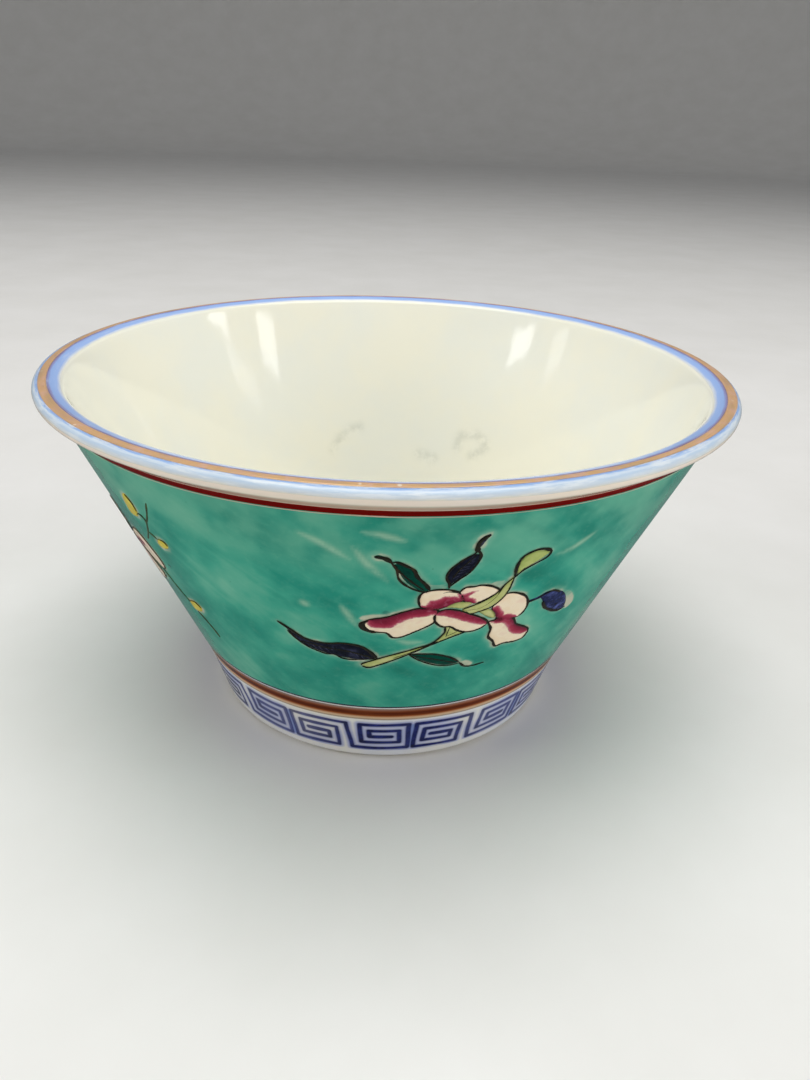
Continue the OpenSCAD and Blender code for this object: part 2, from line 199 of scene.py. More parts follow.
def make_piece(name, points, faces, values=None):
    """A mesh object from points in millimetres, with one named value per point for its material."""
    points = np.asarray(points, float) * MM
    mesh = bpy.data.meshes.new(name)
    mesh.from_pydata(points.tolist(), [], faces)
    for key, data in (values or {}).items():
        data = np.asarray(data, np.float32)
        if data.ndim == 2:
            layer = mesh.attributes.new(key, "FLOAT_VECTOR", "POINT")
            layer.data.foreach_set("vector", data.ravel())
        else:
            layer = mesh.attributes.new(key, "FLOAT", "POINT")
            layer.data.foreach_set("value", data)
    mesh.polygons.foreach_set("use_smooth", np.ones(len(mesh.polygons), bool))
    mesh.update()
    obj = bpy.data.objects.new(name, mesh)
    bpy.context.scene.collection.objects.link(obj)
    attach(obj, "root")
    return obj


def signed_volume(points, quads):
    a, b, c, d = (points[quads[:, k]] for k in range(4))
    return (np.einsum("ij,ij->i", a, np.cross(b, c)) + np.einsum("ij,ij->i", a, np.cross(c, d))).sum()


def turned_piece(name, line, s, lift, columns, poles=False, wobble=None, values=None):
    """A closed ring, or with poles a closed dish, whose section runs through rows (s, lift).
    wobble(az, t) shifts the rows along the line; values(s, az) gives the material's values."""
    az = np.linspace(0, 2 * math.pi, columns, endpoint=False)
    s_grid, az_grid = np.meshgrid(s, az, indexing="ij")
    lift_grid = np.repeat(np.asarray(lift, float)[:, None], columns, 1)
    shifted = s_grid
    if wobble is not None:
        shifted = s_grid + wobble(az_grid, (s_grid - s.min()) / np.ptp(s))
    points = place(line, shifted, az_grid, lift_grid).reshape(-1, 3)
    rows = len(s)
    i, j = np.meshgrid(np.arange(rows - 1 if poles else rows), np.arange(columns), indexing="ij")
    i2, j2 = (i + 1) % rows, (j + 1) % columns
    quads = np.stack([i * columns + j, i * columns + j2, i2 * columns + j2, i2 * columns + j], -1)
    quads = quads.reshape(-1, 4)
    flip = signed_volume(points, quads) < 0
    if flip:
        quads = quads[:, ::-1]
    faces = quads.tolist()
    data = values(s_grid.ravel(), az_grid.ravel()) if values else {}
    if poles:
        ends = [points[:columns].mean(0), points[-columns:].mean(0)]
        first, last = len(points), len(points) + 1
        points = np.concatenate([points, ends])
        data = {k: np.concatenate([v, v[:1], v[-1:]]) for k, v in data.items()}
        for j in range(columns):
            k = (j + 1) % columns
            a = [first, k, j]
            b = [last, (rows - 1) * columns + j, (rows - 1) * columns + k]
            faces += [a[::-1], b[::-1]] if flip else [a, b]
    return make_piece(name, points, faces, data)


def dress(piece, material):
    piece.data.materials.clear()
    piece.data.materials.append(material)


BRUSH_STRETCH = 9


def brushed(line, s, az, stretch):
    """Coordinates for brush marks that run round the bowl, drawn out by stretch."""
    r = line.at(s)[0] / stretch
    return np.stack([r * np.sin(az), r * np.cos(az), s], -1) * MM


def dish(name, line, s_edge, s_axis, s_fine, columns, material, values=None):
    """A coat of glaze that closes over the axis: fine rows from s_edge to s_fine, wider ones to s_axis."""
    top = np.concatenate([rows_between(s_edge, s_fine, 0.15)[:-1], rows_between(s_fine, s_axis, 0.8)])
    below = top[::-4]
    lift = np.concatenate([np.full(len(below), -GLAZE_DEPTH), np.full(len(top), 0.0)])
    lift[len(below)] = -0.1
    piece = turned_piece(name, line, np.concatenate([below, top]), lift, columns, True, values=values)
    dress(piece, material)
    return piece


def unsteady(amount, seed):
    """Edges of a painted band, each wandering by about amount."""
    def shift(az, t):
        a = sum(np.sin(k * az + seed * k * k) / k ** 0.5 for k in (2, 5, 9, 17, 31))
        b = sum(np.sin(k * az + seed * (k + 3) ** 2) / k ** 0.5 for k in (3, 4, 11, 19, 37))
        return amount * 0.5 * (a * (1 - t) + b * t)
    return shift


def band(name, node, material, s0, s1, thick, wander=None, wobble=None):
    """A painted line round the bowl, from s0 to s1 along the skin, with edges that wander by
    (amount, seed) or follow wobble."""
    inner = rows_between(s0 + 0.08, s1 - 0.08, 0.16)
    s = np.concatenate([[s0, s0], inner, [s1, s1]])
    lift = np.concatenate([[-SINK, 0.2 * thick], np.full(len(inner), thick), [0.2 * thick, -SINK]])

    def values(at, az):
        return {"across": (at - s0) / (s1 - s0), "brush": brushed(skin, at, az, BRUSH_STRETCH)}

    piece = turned_piece(name, skin, s, lift, 720, wobble=wobble or unsteady(*wander), values=values)
    if node:
        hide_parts(node)
    dress(piece, material)


# ---------------------------------------------------------------- flat drawing on the wall
SPRAY_Z = 41.0


def to_wall(xy, az0):
    """Where a point, drawn flat on the plane that touches the wall at (az0, SPRAY_Z), lands: (s, az)."""
    x, y = np.asarray(xy, float).T
    r0 = wall_r(SPRAY_Z)
    t = np.zeros_like(x)
    for _ in range(12):
        z = SPRAY_Z + y * math.cos(LEAN) - t * math.sin(LEAN)
        depth = np.sqrt(wall_r(z) ** 2 - x ** 2)
        t = (depth - r0 - y * math.sin(LEAN)) / math.cos(LEAN)
    return s_wall(z), az0 + np.arctan2(x, depth)


def to_plane(s, az, az0):
    """The flat drawing's point under (s, az) on the wall: the reverse of to_wall."""
    z = FOOT_H + (s - s_foot_top) * math.cos(LEAN)
    r = wall_r(z)
    x = r * np.sin(az - az0)
    depth = r * np.cos(az - az0) - wall_r(SPRAY_Z)
    return np.stack([x, depth * math.sin(LEAN) + (z - SPRAY_Z) * math.cos(LEAN)], -1)


def smooth(points, per_span=5, closed=True):
    """A smooth line through the points, closed or open."""
    p = np.asarray(points, float)
    if not closed:
        p = np.concatenate([[2 * p[0] - p[1]], p, [2 * p[-1] - p[-2]]])
    n = len(p)
    spans = range(n) if closed else range(1, n - 2)
    out = []
    for i in spans:
        a, b, c, d = (p[(i + k) % n] for k in (-1, 0, 1, 2))
        for t in np.linspace(0, 1, per_span, endpoint=False):
            out.append(0.5 * (2 * b + (c - a) * t + (2 * a - 5 * b + 4 * c - d) * t ** 2
                              + (3 * b - a - 3 * c + d) * t ** 3))
    if not closed:
        out.append(p[-2])
    return np.array(out)


def inside(points, loop):
    x, y = points[:, 0, None], points[:, 1, None]
    a, b = loop, np.roll(loop, -1, 0)
    crosses = (a[:, 1] > y) != (b[:, 1] > y)
    rise = np.where(b[:, 1] == a[:, 1], 1e-9, b[:, 1] - a[:, 1])
    return ((crosses & (x < a[:, 0] + (y - a[:, 1]) / rise * (b[:, 0] - a[:, 0]))).sum(1) % 2).astype(bool)


def distance(points, a, b):
    """Least distance from each point to the segments a to b."""
    best = np.full(len(points), 1e9)
    for p, q in zip(a, b):
        d = q - p
        t = np.clip(((points - p) @ d) / max(d @ d, 1e-12), 0, 1)
        best = np.minimum(best, np.hypot(*(points - p - t[:, None] * d).T))
    return best


def loop_distance(points, loop):
    return distance(points, loop, np.roll(loop, -1, 0))


def filled(keep, cut=(), within=(), spacing=0.35):
    """Triangles over the loops in keep, inside the loops in within and outside those in cut."""
    loops = list(keep) + list(cut) + list(within)
    points, edges = [], []
    for loop in loops:
        start = len(points)
        points += loop.tolist()
        edges += [(start + k, start + (k + 1) % len(loop)) for k in range(len(loop))]
    every = np.array(points)
    lo, hi = every.min(0), every.max(0)
    gx, gy = np.meshgrid(np.arange(lo[0], hi[0], spacing), np.arange(lo[1], hi[1], spacing * 0.87))
    gx = gx + (np.arange(gx.shape[0]) % 2)[:, None] * spacing / 2
    grid = np.stack([gx.ravel(), gy.ravel()], -1)
    grid = grid[np.any([inside(grid, loop) for loop in keep], 0)]
    for loop in loops:
        grid = grid[loop_distance(grid, loop) > 0.45 * spacing]
    flat = [Vector(p) for p in points + grid.tolist()]
    verts, _, tris, *_ = delaunay_2d_cdt(flat, edges, [], 0, 1e-4)
    verts, tris = np.array([tuple(v) for v in verts]), np.array(tris)
    centre = verts[tris].mean(1)
    chosen = np.any([inside(centre, loop) for loop in keep], 0)
    if len(within):
        chosen &= np.any([inside(centre, loop) for loop in within], 0)
    for loop in cut:
        chosen &= ~inside(centre, loop)
    tris = tris[chosen]
    used, tris = np.unique(tris, return_inverse=True)
    verts, tris = verts[used], tris.reshape(-1, 3)
    x, y = verts[:, 0], verts[:, 1]
    a, b, c = tris.T
    turned = (x[b] - x[a]) * (y[c] - y[a]) - (x[c] - x[a]) * (y[b] - y[a]) < 0
    tris[turned] = tris[turned][:, ::-1]
    return verts, tris


def border(tris):
    """The directed edges that only one triangle has."""
    pairs = {}
    for t in tris.tolist():
        for k in range(3):
            pairs[(t[k], t[(k + 1) % 3])] = True
    return [e for e in pairs if (e[1], e[0]) not in pairs]


class Paint:
    """Gathers the meshes that make one painted piece."""

    def __init__(self, az0):
        self.az0, self.points, self.faces, self.values, self.count = az0, [], [], [], 0

    def add(self, xy, lift, faces, values):
        s, az = to_wall(xy, self.az0)
        self.points.append(place(skin, s, az, lift))
        self.faces += [[v + self.count for v in f] for f in faces]
        self.count += len(xy)
        self.values.append(values)

    def patch(self, keep, cut=(), within=(), base=0.0, thick=0.1, round_off=0.45, spacing=0.35,
              values=None):
        """A pool of enamel over the loops in keep, domed to thick over round_off from its edge."""
        xy, tris = filled(keep, cut, within, spacing)
        rim = border(tris)
        ends = np.array(rim)
        d = distance(xy, xy[ends[:, 0]], xy[ends[:, 1]])
        t = np.clip(d / round_off, 0, 1)
        top = base + thick * np.sqrt(1 - (1 - t) ** 2)
        n = len(xy)
        faces = tris.tolist() + (tris[:, ::-1] + n).tolist()
        faces += [[a, a + n, b + n, b] for a, b in rim]
        data = {"edge": d}
        if values:
            data.update(values(xy, d))
        self.add(np.concatenate([xy, xy]), np.concatenate([top, np.full(n, base - SINK)]),
                 faces, {k: np.concatenate([v, v]) for k, v in data.items()})

    def stroke(self, xy, half_width, base=0.0, thick=0.05, values=None):
        """A brush line along xy, with a half width at each point."""
        xy = np.asarray(xy, float)
        along = np.gradient(xy, axis=0)
        along /= np.maximum(np.hypot(*along.T), 1e-9)[:, None]
        side = np.stack([-along[:, 1], along[:, 0]], -1)
        across = np.array([-1, -1, -0.55, 0, 0.55, 1, 1])
        rise = np.array([-SINK, 0, 0.8 * thick, thick, 0.8 * thick, 0, -SINK])
        w = np.broadcast_to(half_width, len(xy))
        ring = xy[:, None] + side[:, None] * (across[None, :, None] * w[:, None, None])
        n, m = len(xy), len(across)
        faces = [[i * m + k, (i + 1) * m + k, (i + 1) * m + (k + 1) % m, i * m + (k + 1) % m]
                 for i in range(n - 1) for k in range(m)]
        faces += [list(range(m)), [(n - 1) * m + k for k in reversed(range(m))]]
        data = {"edge": np.repeat(w, m)}
        if values:
            data.update({k: np.full(n * m, v) for k, v in values.items()})
        self.add(ring.reshape(-1, 2), np.tile(base + rise, n), faces, data)

    def piece(self, name, *replaced):
        names = {key for values in self.values for key in values}
        data = {key: np.concatenate([values.get(key, np.zeros(len(points)))
                                     for points, values in zip(self.points, self.values)])
                for key in sorted(names)}
        obj = make_piece(name, np.concatenate(self.points), self.faces, data)
        if replaced:
            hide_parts(*replaced)
        return obj


def even(xy, step=0.22):
    """The same line with its points a step apart."""
    run = np.concatenate([[0], np.cumsum(np.hypot(*np.diff(xy, axis=0).T))])
    t = np.linspace(0, run[-1], max(3, int(run[-1] / step) + 1))
    return np.stack([np.interp(t, run, xy[:, k]) for k in (0, 1)], -1)


def brush_width(xy, width, taper=0.6, chisel=0.3):
    """Half widths of a brush line: thicker one way than the other, a little unsteady, thin at its ends."""
    run = np.concatenate([[0], np.cumsum(np.hypot(*np.diff(xy, axis=0).T))])
    along = np.gradient(xy, axis=0)
    angle = np.arctan2(along[:, 1], along[:, 0])
    w = 0.5 * width * (1 - chisel * np.cos(2 * (angle - 0.5)))
    w *= 1 + 0.14 * np.sin(1.9 * run + 3 * xy[0, 0]) + 0.09 * np.sin(4.3 * run + 5 * xy[0, 1])
    if taper:
        ends = np.minimum(run, run[-1] - run) / taper
        w *= np.sqrt(np.clip(ends, 0.04, 1))
    return w


def draw(paint, points, width, base, closed=False, hidden=(), taper=0.6, thick=0.05, **values):
    """A smooth brush line through the points, left out where it runs under the hidden loops."""
    xy = smooth(points, 6, closed)
    if closed:
        xy = np.concatenate([xy, xy[:1]])
    xy = even(xy)
    shown = np.ones(len(xy), bool)
    for loop in hidden:
        shown &= ~inside(xy, loop)
    start = None
    for i in range(len(xy) + 1):
        on = i < len(xy) and shown[i]
        if on and start is None:
            start = i
        if not on and start is not None:
            if i - start > 3:
                run = xy[start:i]
                whole = closed and i - start == len(xy)
                paint.stroke(run, brush_width(run, width, 0 if whole else taper), base, thick, values)
            start = None


# ---------------------------------------------------------------- the drawing, in mm on the wall
PETALS = [
    [(-1.4, 1.7), (-2, 2.6), (-2.2, 4), (-1.8, 5.2), (-0.8, 5.7), (0.4, 5.9), (2, 5.7), (3.4, 5),
     (4.2, 3.9), (4.4, 2.8), (2, 1.6), (0.4, 1.2)],
    [(3.7, 4.9), (4.4, 5.9), (5.7, 5.9), (6.8, 6), (8.5, 5.3), (9.7, 3.8), (7.4, 2), (5.8, 1.9),
     (4.4, 2.8), (4.2, 3.9)],
    [(9.4, -0.2), (9.9, 0.8), (10.4, 2.2), (11.3, 2.7), (12.6, 2.4), (14.3, 1.1), (15.2, -0.5),
     (15.5, -2.4), (14.9, -4.2), (13.4, -4.5), (10.8, -3.4), (9.9, -2)],
    [(-9.8, -3.2), (-9, -1.8), (-6.5, -0.8), (-3.8, 0.8), (-1.4, 1.6), (0.9, 0.9), (0.6, -0.6),
     (0.7, -2.2), (-0.8, -3.6), (-2, -4.5), (-3.9, -5.9), (-5.2, -6), (-6.2, -4.9), (-7.7, -4.8),
      (-9.3, -4.3)],
    [(1.2, 0.6), (2.4, 0.9), (4.2, 0.3), (6.3, -1.1), (7.9, -2.3), (9.2, -3.8), (8.8, -5), (7.4, -5.7),
     (5.8, -5.6), (4.4, -4.7), (3.4, -3.7), (2.2, -3.5), (1.2, -2.6), (0.7, -1.4), (0.7, -0.2)],
    [(9.5, -4.1), (10.4, -3.9), (10.9, -3.3), (12.4, -3.6), (13.7, -4.8), (14.6, -6.8), (16.8, -9),
     (17.4, -10.3), (17, -12.1), (15.4, -12.3), (13.3, -11.7), (12, -11.9), (11.2, -10), (10.2, -8.4),
     (10.2, -6.1)],
]
BLUSH = [
    [(-1.5, 2.1), (-0.7, 3.5), (0.5, 3.9), (1.5, 4.5), (2.6, 4.5), (4, 4.1), (5, 4), (5.2, 2.6), (2, 0.6),
     (0, 0.4), (-2.2, 1.2)],
    [(3.2, 5.2), (4.4, 4.7), (5.4, 5.1), (6.8, 5), (6, 4.3), (5.4, 3.8), (6.2, 3.4), (6.7, 2.4), (6.6, 1.4),
     (4.6, 1.4), (3.4, 3)],
    [(8.6, -0.6), (9.6, 0.2), (10.1, 0.5), (10.9, -0.3), (11.7, -1.9), (12.2, -3.4), (12.4, -5), (10, -4.6),
     (8.8, -2.4)],
    [(-9.5, -2.4), (-9, -3.4), (-8.2, -3.8), (-5.6, -3.6), (-4.4, -2.4), (-2.8, -1.1), (-1.1, -0.8),
     (0.6, -0.2), (1.6, 0.4), (0.6, 2), (-1.6, 2.6), (-4.2, 1.8), (-7, 0.2), (-9.6, -0.9)],
    [(0.2, -0.2), (1, -0.6), (2.2, -0.9), (3.9, -1.9), (5.4, -2.8), (7, -3.9), (8.4, -4.5), (9.8, -4.6),
     (9.6, -3), (8, -1.4), (6.2, -0.2), (4, 1.2), (1.8, 1.6), (0.2, 0.8)],
    [(10, -4.6), (10.7, -5.1), (11.8, -5.3), (12.8, -6.8), (13.7, -8.7), (15.2, -10.2), (16.8, -10.7),
     (18.2, -10.2), (17.6, -8.4), (15.4, -6), (14.2, -3.8), (12.2, -2.6), (9.8, -3)],
]
THROATS = [
    [(2, 1.4), (3.7, 2.5), (6, 1.9), (4.8, 0.7), (3.1, 1.1)],
    [(7.2, -0.4), (9, -0.5), (10.2, -2.1), (10.3, -3.3), (9.1, -2.7)],
]
STEM_UP = [(11.6, 6.8), (10.4, 5.2), (9.4, 3.4), (7.4, 1.8), (4.7, 0.6), (5.4, -0.4), (6.3, -0.9),
           (9.1, 0), (10.6, 1.7), (11.3, 3.6)]
STEM_DOWN = [(2.6, -3.4), (4.3, -4.4), (6.1, -5.5), (4.1, -6.5), (1.1, -8.2), (-2.3, -10.7), (-6.7, -14),
             (-8.2, -14.9), (-9.2, -14.7), (-9.2, -13.9), (-5.7, -11.4), (-1.6, -9.2), (1, -7.8),
             (2.6, -5.4)]
LIME_LEAF = [(11.8, 7.2), (11.6, 9.3), (12.3, 11.1), (14, 11.7), (16.2, 10.9), (15.8, 10), (14.4, 9),
             (13, 8.2)]
NAVY_LEAVES = [
    [(1.8, 7), (1.3, 9), (1.8, 10.6), (3, 12.1), (4.5, 13.3), (5.4, 12.9), (5.2, 11.2), (4.3, 9.4), (3.1, 8)],
    [(4.7, 14.2), (4.5, 15.6), (5.1, 16.8), (6.2, 17.3), (5.7, 15.9), (5.2, 14.8)],
    [(-22.2, -7.1), (-20.8, -8), (-19.5, -9), (-17.6, -9.9), (-14.9, -9.7), (-12.5, -9), (-10, -9.2),
     (-8.6, -10.1), (-7.2, -12), (-9.4, -12.9), (-11.8, -13), (-14.8, -12.6), (-17.7, -11.8),
     (-19.5, -10.4), (-20.8, -8.7)],
]
GREEN_LEAVES = [
    [(-6.3, 11.4), (-5.5, 11.9), (-4.4, 11.1), (-3.2, 9.7), (-2.5, 8.4), (-1.6, 7.3), (-1, 5.8), (-1.8, 5.6),
     (-2.9, 6.2), (-4.2, 7.5), (-5.1, 8.9), (-5.6, 10.4)],
    [(-9.1, 13), (-8.5, 13.4), (-7.6, 13), (-7, 12.2), (-7.9, 12.4), (-8.9, 12.6)],
    [(-1.9, -10.9), (0.5, -11), (2.4, -11.6), (4.5, -12.7), (6.2, -14.4), (4.7, -14.8), (2.6, -14.3),
     (0, -12.8), (-1.2, -11.7)],
]
BUD = [(17.6, -0.8), (18.9, -0.3), (20.6, -1.1), (22.3, -2.9), (23.4, -5.6), (23.6, -7.8), (22.4, -7.9),
       (20.8, -6.6), (19.4, -5), (18.4, -2.9)]
BUD_STEM = [(15.4, -1), (16.6, -0.9), (17.9, -0.6), (18.2, -1.4), (16.7, -1.6), (15.5, -1.7)]
BARE = [
    [(23, -3.2), (24.4, -5.4), (25, -7.8), (24.2, -8.4), (23.6, -5.6)],
    [(6.8, -15), (7.5, -14.7), (8.5, -15.7), (7.7, -16)],
    [(-1.6, 6.4), (0.2, 6.6), (1.4, 6.2), (0.2, 5.8), (-1, 5.6)],
    [(8.4, 5.6), (9.6, 4.6), (10.6, 4.8), (9.6, 6)],
    [(-10, -1.6), (-8.4, -1.2), (-7, -0.6), (-8.6, -0.8)],
]
# The leaves' ribs
NAVY_RIB_UP = [(2, 8.2), (2.8, 10.2), (4, 12), (4.9, 13.4)]
NAVY_RIB_LOW = [(-18.6, -10.6), (-15, -10.9), (-11.4, -10.9), (-7.8, -12)]
GREEN_RIB_UP = [(-6.2, 11), (-4.8, 9.3), (-3.4, 7.7), (-1.7, 6)]
GREEN_RIB_LOW = [(-1.6, -11.1), (1.8, -12.4), (5.6, -14.3)]
# Brush lines: points and width
LINES = [
    ([(-6.8, 12), (-5.9, 12.1), (-4.8, 11.5), (-3.5, 10.5), (-2.9, 9), (-1.6, 7.3), (-0.8, 5.9)], 0.42),
    ([(-6.8, 12), (-5.9, 10.6), (-5.5, 8.6), (-4.5, 7.2), (-2.9, 6), (-1.2, 5.4)], 0.3),
    ([(-6.6, 11.9), (-7.6, 12.8), (-9.1, 13.1)], 0.6),
    (GREEN_RIB_UP, 0.3),
    ([(1.9, 6), (1.8, 7.2), (1.2, 8.7), (1.6, 10.4), (2.8, 12.1), (4.4, 13.4), (4.9, 14.3)], 0.34),
    ([(1.8, 6.4), (3, 7.9), (4.3, 9.3), (5.2, 11.2), (5.5, 12.8), (5, 14.2)], 0.34),
    ([(4.9, 13.8), (4.7, 15.1), (5.1, 16.3), (6.2, 17.2)], 0.7),
    (NAVY_RIB_UP, 0.3),
    ([(11.6, 6.7), (11.5, 9.2), (12.1, 11.2), (13.8, 12), (15.2, 11.8), (16.5, 10.9)], 0.45),
    ([(16.5, 11), (16.1, 9.7), (14.6, 8.9), (12.8, 7.9), (11.6, 6.5)], 0.32),
    ([(11.6, 6.8), (11.3, 3.6), (10.6, 1.7), (9.1, 0), (6.3, -0.9)], 0.22),
    ([(11.7, 6.8), (10.4, 5.2), (9.4, 3.4), (7.4, 1.8), (4.7, 0.6)], 0.2),
    ([(10.4, 5.2), (9.3, 2.2), (7.4, 0.4), (5, 0.3)], 0.18),
    ([(2.6, -3.7), (2.6, -5.4), (1, -7.8), (-1.6, -9.2), (-5.7, -11.4), (-9.1, -13.8), (-9.4, -14.4)], 0.3),
    ([(6.1, -5.6), (4.1, -6.5), (1.1, -8.2), (-2.3, -10.7), (-6.7, -14), (-8.2, -15), (-9.3, -14.7)], 0.32),
    ([(1.9, -7.3), (-1.3, -9.6), (-4.6, -11.7)], 0.2),
    ([(3.3, -3.9), (3, -6.1)], 0.2),
    ([(4.6, -5.2), (2.9, -6.2)], 0.2),
    ([(-2.3, -10.8), (-0.5, -10.7), (1.9, -11.1), (4.4, -12.4), (6.3, -14.3)], 0.3),
    ([(-2.3, -10.8), (-0.3, -12.7), (2.5, -14.4), (4.8, -14.9), (6.4, -14.6)], 0.22),
    ([(6.3, -14.5), (7.4, -16), (8.8, -16.4), (10.8, -16.2)], 0.3),
    (GREEN_RIB_LOW, 0.25),
    ([(-22.3, -7), (-20.8, -8), (-19.5, -9), (-17.6, -9.9), (-14.9, -9.7), (-12.5, -8.9), (-10, -9.1),
      (-8.6, -10.1), (-7.1, -12.1)], 0.5),
    ([(-20.8, -8.7), (-19.5, -10.4), (-17.7, -11.8), (-15.9, -12.5), (-14.8, -12.7), (-13.5, -12.4),
      (-12.6, -13.1), (-11.2, -13.2), (-8.5, -12.5), (-7.2, -12.2)], 0.28),
    (NAVY_RIB_LOW, 0.4),
    ([(-9, -2), (-9.8, -2.8), (-9.8, -3.7), (-8.9, -4.6), (-7.7, -4.9)], 0.8),
    ([(15.4, -1.3), (16.6, -1.2), (17.8, -0.8), (19.6, -0.5), (21.2, -1.8)], 0.35),
    ([(18.3, -2.8), (19.3, -5), (20.8, -6.7), (22.4, -8), (23.7, -7.8)], 0.4),
    ([(1.2, 5.1), (2, 5.3), (3.4, 4.9)], 0.2),
]
STREAKS = [
    [(-12.1, 14.6), (-10, 11.4), (-7, 7.7)],
    [(-13.1, 0.9), (-12.1, -1.1), (-10.8, -3.7)],
    [(-19.2, 15.8), (-16.2, 14.5), (-12.3, 11.9)],
    [(-10.9, 17.8), (-8.2, 17.4), (-5.1, 16.5)],
    [(-18.6, 0.1), (-18, -0.6)],
    [(17.5, 9.4), (20.2, 9.8), (23.4, 11.6)],
    [(-4.2, -7), (-2.4, -7.6), (-0.6, -7.4)],
]
# Feather strokes on the leaves: spine, reach, number and width
NAVY_FEATHERS = [
    (NAVY_RIB_UP, 1.5, 7, 0.2),
    (NAVY_RIB_LOW, 1.6, 11, 0.22),
]
GREEN_FEATHERS = [
    (GREEN_RIB_UP, 1.3, 9, 0.22),
    (GREEN_RIB_LOW, 0.9, 8, 0.2),
]
YELLOW_BUDS = [
    [(13.4, 13.3), (14.8, 13.8), (15.4, 12.4), (15.2, 10.6), (13.8, 9), (12, 9.4), (12.4, 11.2)],
    [(15.2, 4.2), (16.2, 5.2), (17.6, 5.2), (18.1, 4.3), (17, 3.3), (15.7, 3.3)],
    [(11.4, -11.4), (12, -10.2), (13.8, -9.9), (14.8, -10.9), (13.7, -12.3), (12, -12.5)],
    [(-12.6, 6.4), (-11, 7.4), (-9.8, 5.8), (-10.6, 3.8), (-12.2, 4.4)],
]
BLOSSOM = [
    [(-0.2, 1.2), (-1.8, 3.2), (-2.6, 6), (-0.8, 7.4), (1.2, 5.6), (1.2, 2.6)],
    [(2, 0.4), (4.8, 3.2), (7.6, 3.6), (9.6, 1.4), (10.6, -2), (9.2, -4), (5, -1.8)],
    [(1.6, -1.6), (4.8, -3.2), (6.6, -6.2), (4.4, -8.6), (1.2, -7.4), (0, -4)],
    [(-1, -1.2), (-2, -4.6), (-5.4, -6.6), (-8, -4.8), (-7.2, -1.8), (-3.8, -0.4)],
    [(-1.2, 0.4), (-4.6, 0.8), (-7.4, 3.2), (-6.4, 5.8), (-3.8, 5.4), (-2.2, 2.6)],
]
MARKS = [
    [(-0.3, 2.2), (-1.4, 4.4), (-0.8, 5.8), (0.4, 3.8)],
    [(3.2, 0.6), (5.4, 2), (7.8, 1), (5.6, -0.6)],
    [(1.8, -2.4), (3.8, -3.8), (3.8, -6), (1.8, -4.6)],
    [(-1.8, -2.2), (-3, -4.2), (-5.4, -4.2), (-4, -2)],
    [(-2.4, 1), (-4.4, 1.8), (-5.2, 3.8), (-3.2, 3)],
]
TWIGS = [
    [(13, 9), (15.2, 10), (16.1, 8.8), (14, 6), (11.6, 3.6)],
    [(16.2, 8.6), (18.2, 10.8), (20.4, 13.6)],
    [(14, 6), (15, 5.6), (15.8, 5)],
    [(8.4, -4.6), (9.4, -7.4), (11.4, -11)],
    [(12.2, -12.8), (13.7, -15.8), (14.3, -18.5)],
    [(-7.6, 2.2), (-9.4, 3.2), (-10.6, 4)],
]
FRONT_AZ, BACK_AZ, LEFT_AZ, RIGHT_AZ = (math.radians(a) for a in (8, 172, -60, 90))


def smooth_all(shapes):
    return [smooth(shape) for shape in shapes]


# Lifts above the glaze, in mm
GROUND_T = 0.12
PETAL_T = 0.14
BLUSH_BASE = GROUND_T + PETAL_T - 0.02
LINE_BASE = GROUND_T + PETAL_T - 0.03


def along_strokes(paint, spine, reach, side, count, width, base, **values):
    """Short feather strokes that leave a spine line to one side."""
    spine = even(smooth(spine, 6, False), 0.1)
    along = np.gradient(spine, axis=0)
    along /= np.hypot(*along.T)[:, None]
    normal = side * np.stack([-along[:, 1], along[:, 0]], -1)
    for k in range(count):
        i = int((k + 0.7) / (count + 0.6) * len(spine))
        swell = math.sin(math.pi * (k + 0.9) / (count + 0.8)) ** 0.5
        out = reach * (0.65 + 0.35 * math.sin(7 * k + 1)) * swell
        p, a, n = spine[i], along[i], normal[i]
        feather = [p, p + out * (0.5 * n + 0.3 * a), p + out * (0.85 * n + 0.75 * a)]
        draw(paint, feather, width, base, taper=0.35, **values)


def pools(az0, loops, cut=(), thick=PETAL_T, values=None):
    """A pool of enamel on the ground over each loop."""
    paint = Paint(az0)
    for loop in loops:
        paint.patch([loop], cut, base=GROUND_T, thick=thick, values=values)
    return paint


def blushes(az0, loops, cut=(), within=()):
    """Thin enamel on the petals. Fade is the distance in from the edge of its loop."""
    paint = Paint(az0)
    for loop in smooth_all(loops):
        paint.patch([loop], cut, within, BLUSH_BASE, 0.05, spacing=0.25,
                    values=lambda xy, d, loop=loop: {"fade": loop_distance(xy, loop)})
    return paint


def leaves(az0, loops, feathers, side):
    """Leaves with feather strokes to one side of their ribs. Tone is 1 on the strokes."""
    paint = pools(az0, loops, values=lambda xy, d: {"tone": 0 * d})
    for spine, reach, count, width in feathers:
        along_strokes(paint, spine, reach, side, count, width, LINE_BASE, tone=1)
    return paint


def finish_spray(prefix, materials, lines, parts):
    for paint, part, slot in parts:
        piece = paint.piece(f"{prefix}_{part}_enamel", f"{prefix}_{part}")
        dress(piece, materials[part])
    dress(lines.piece(f"{prefix}_brush_lines"), materials["lines"])


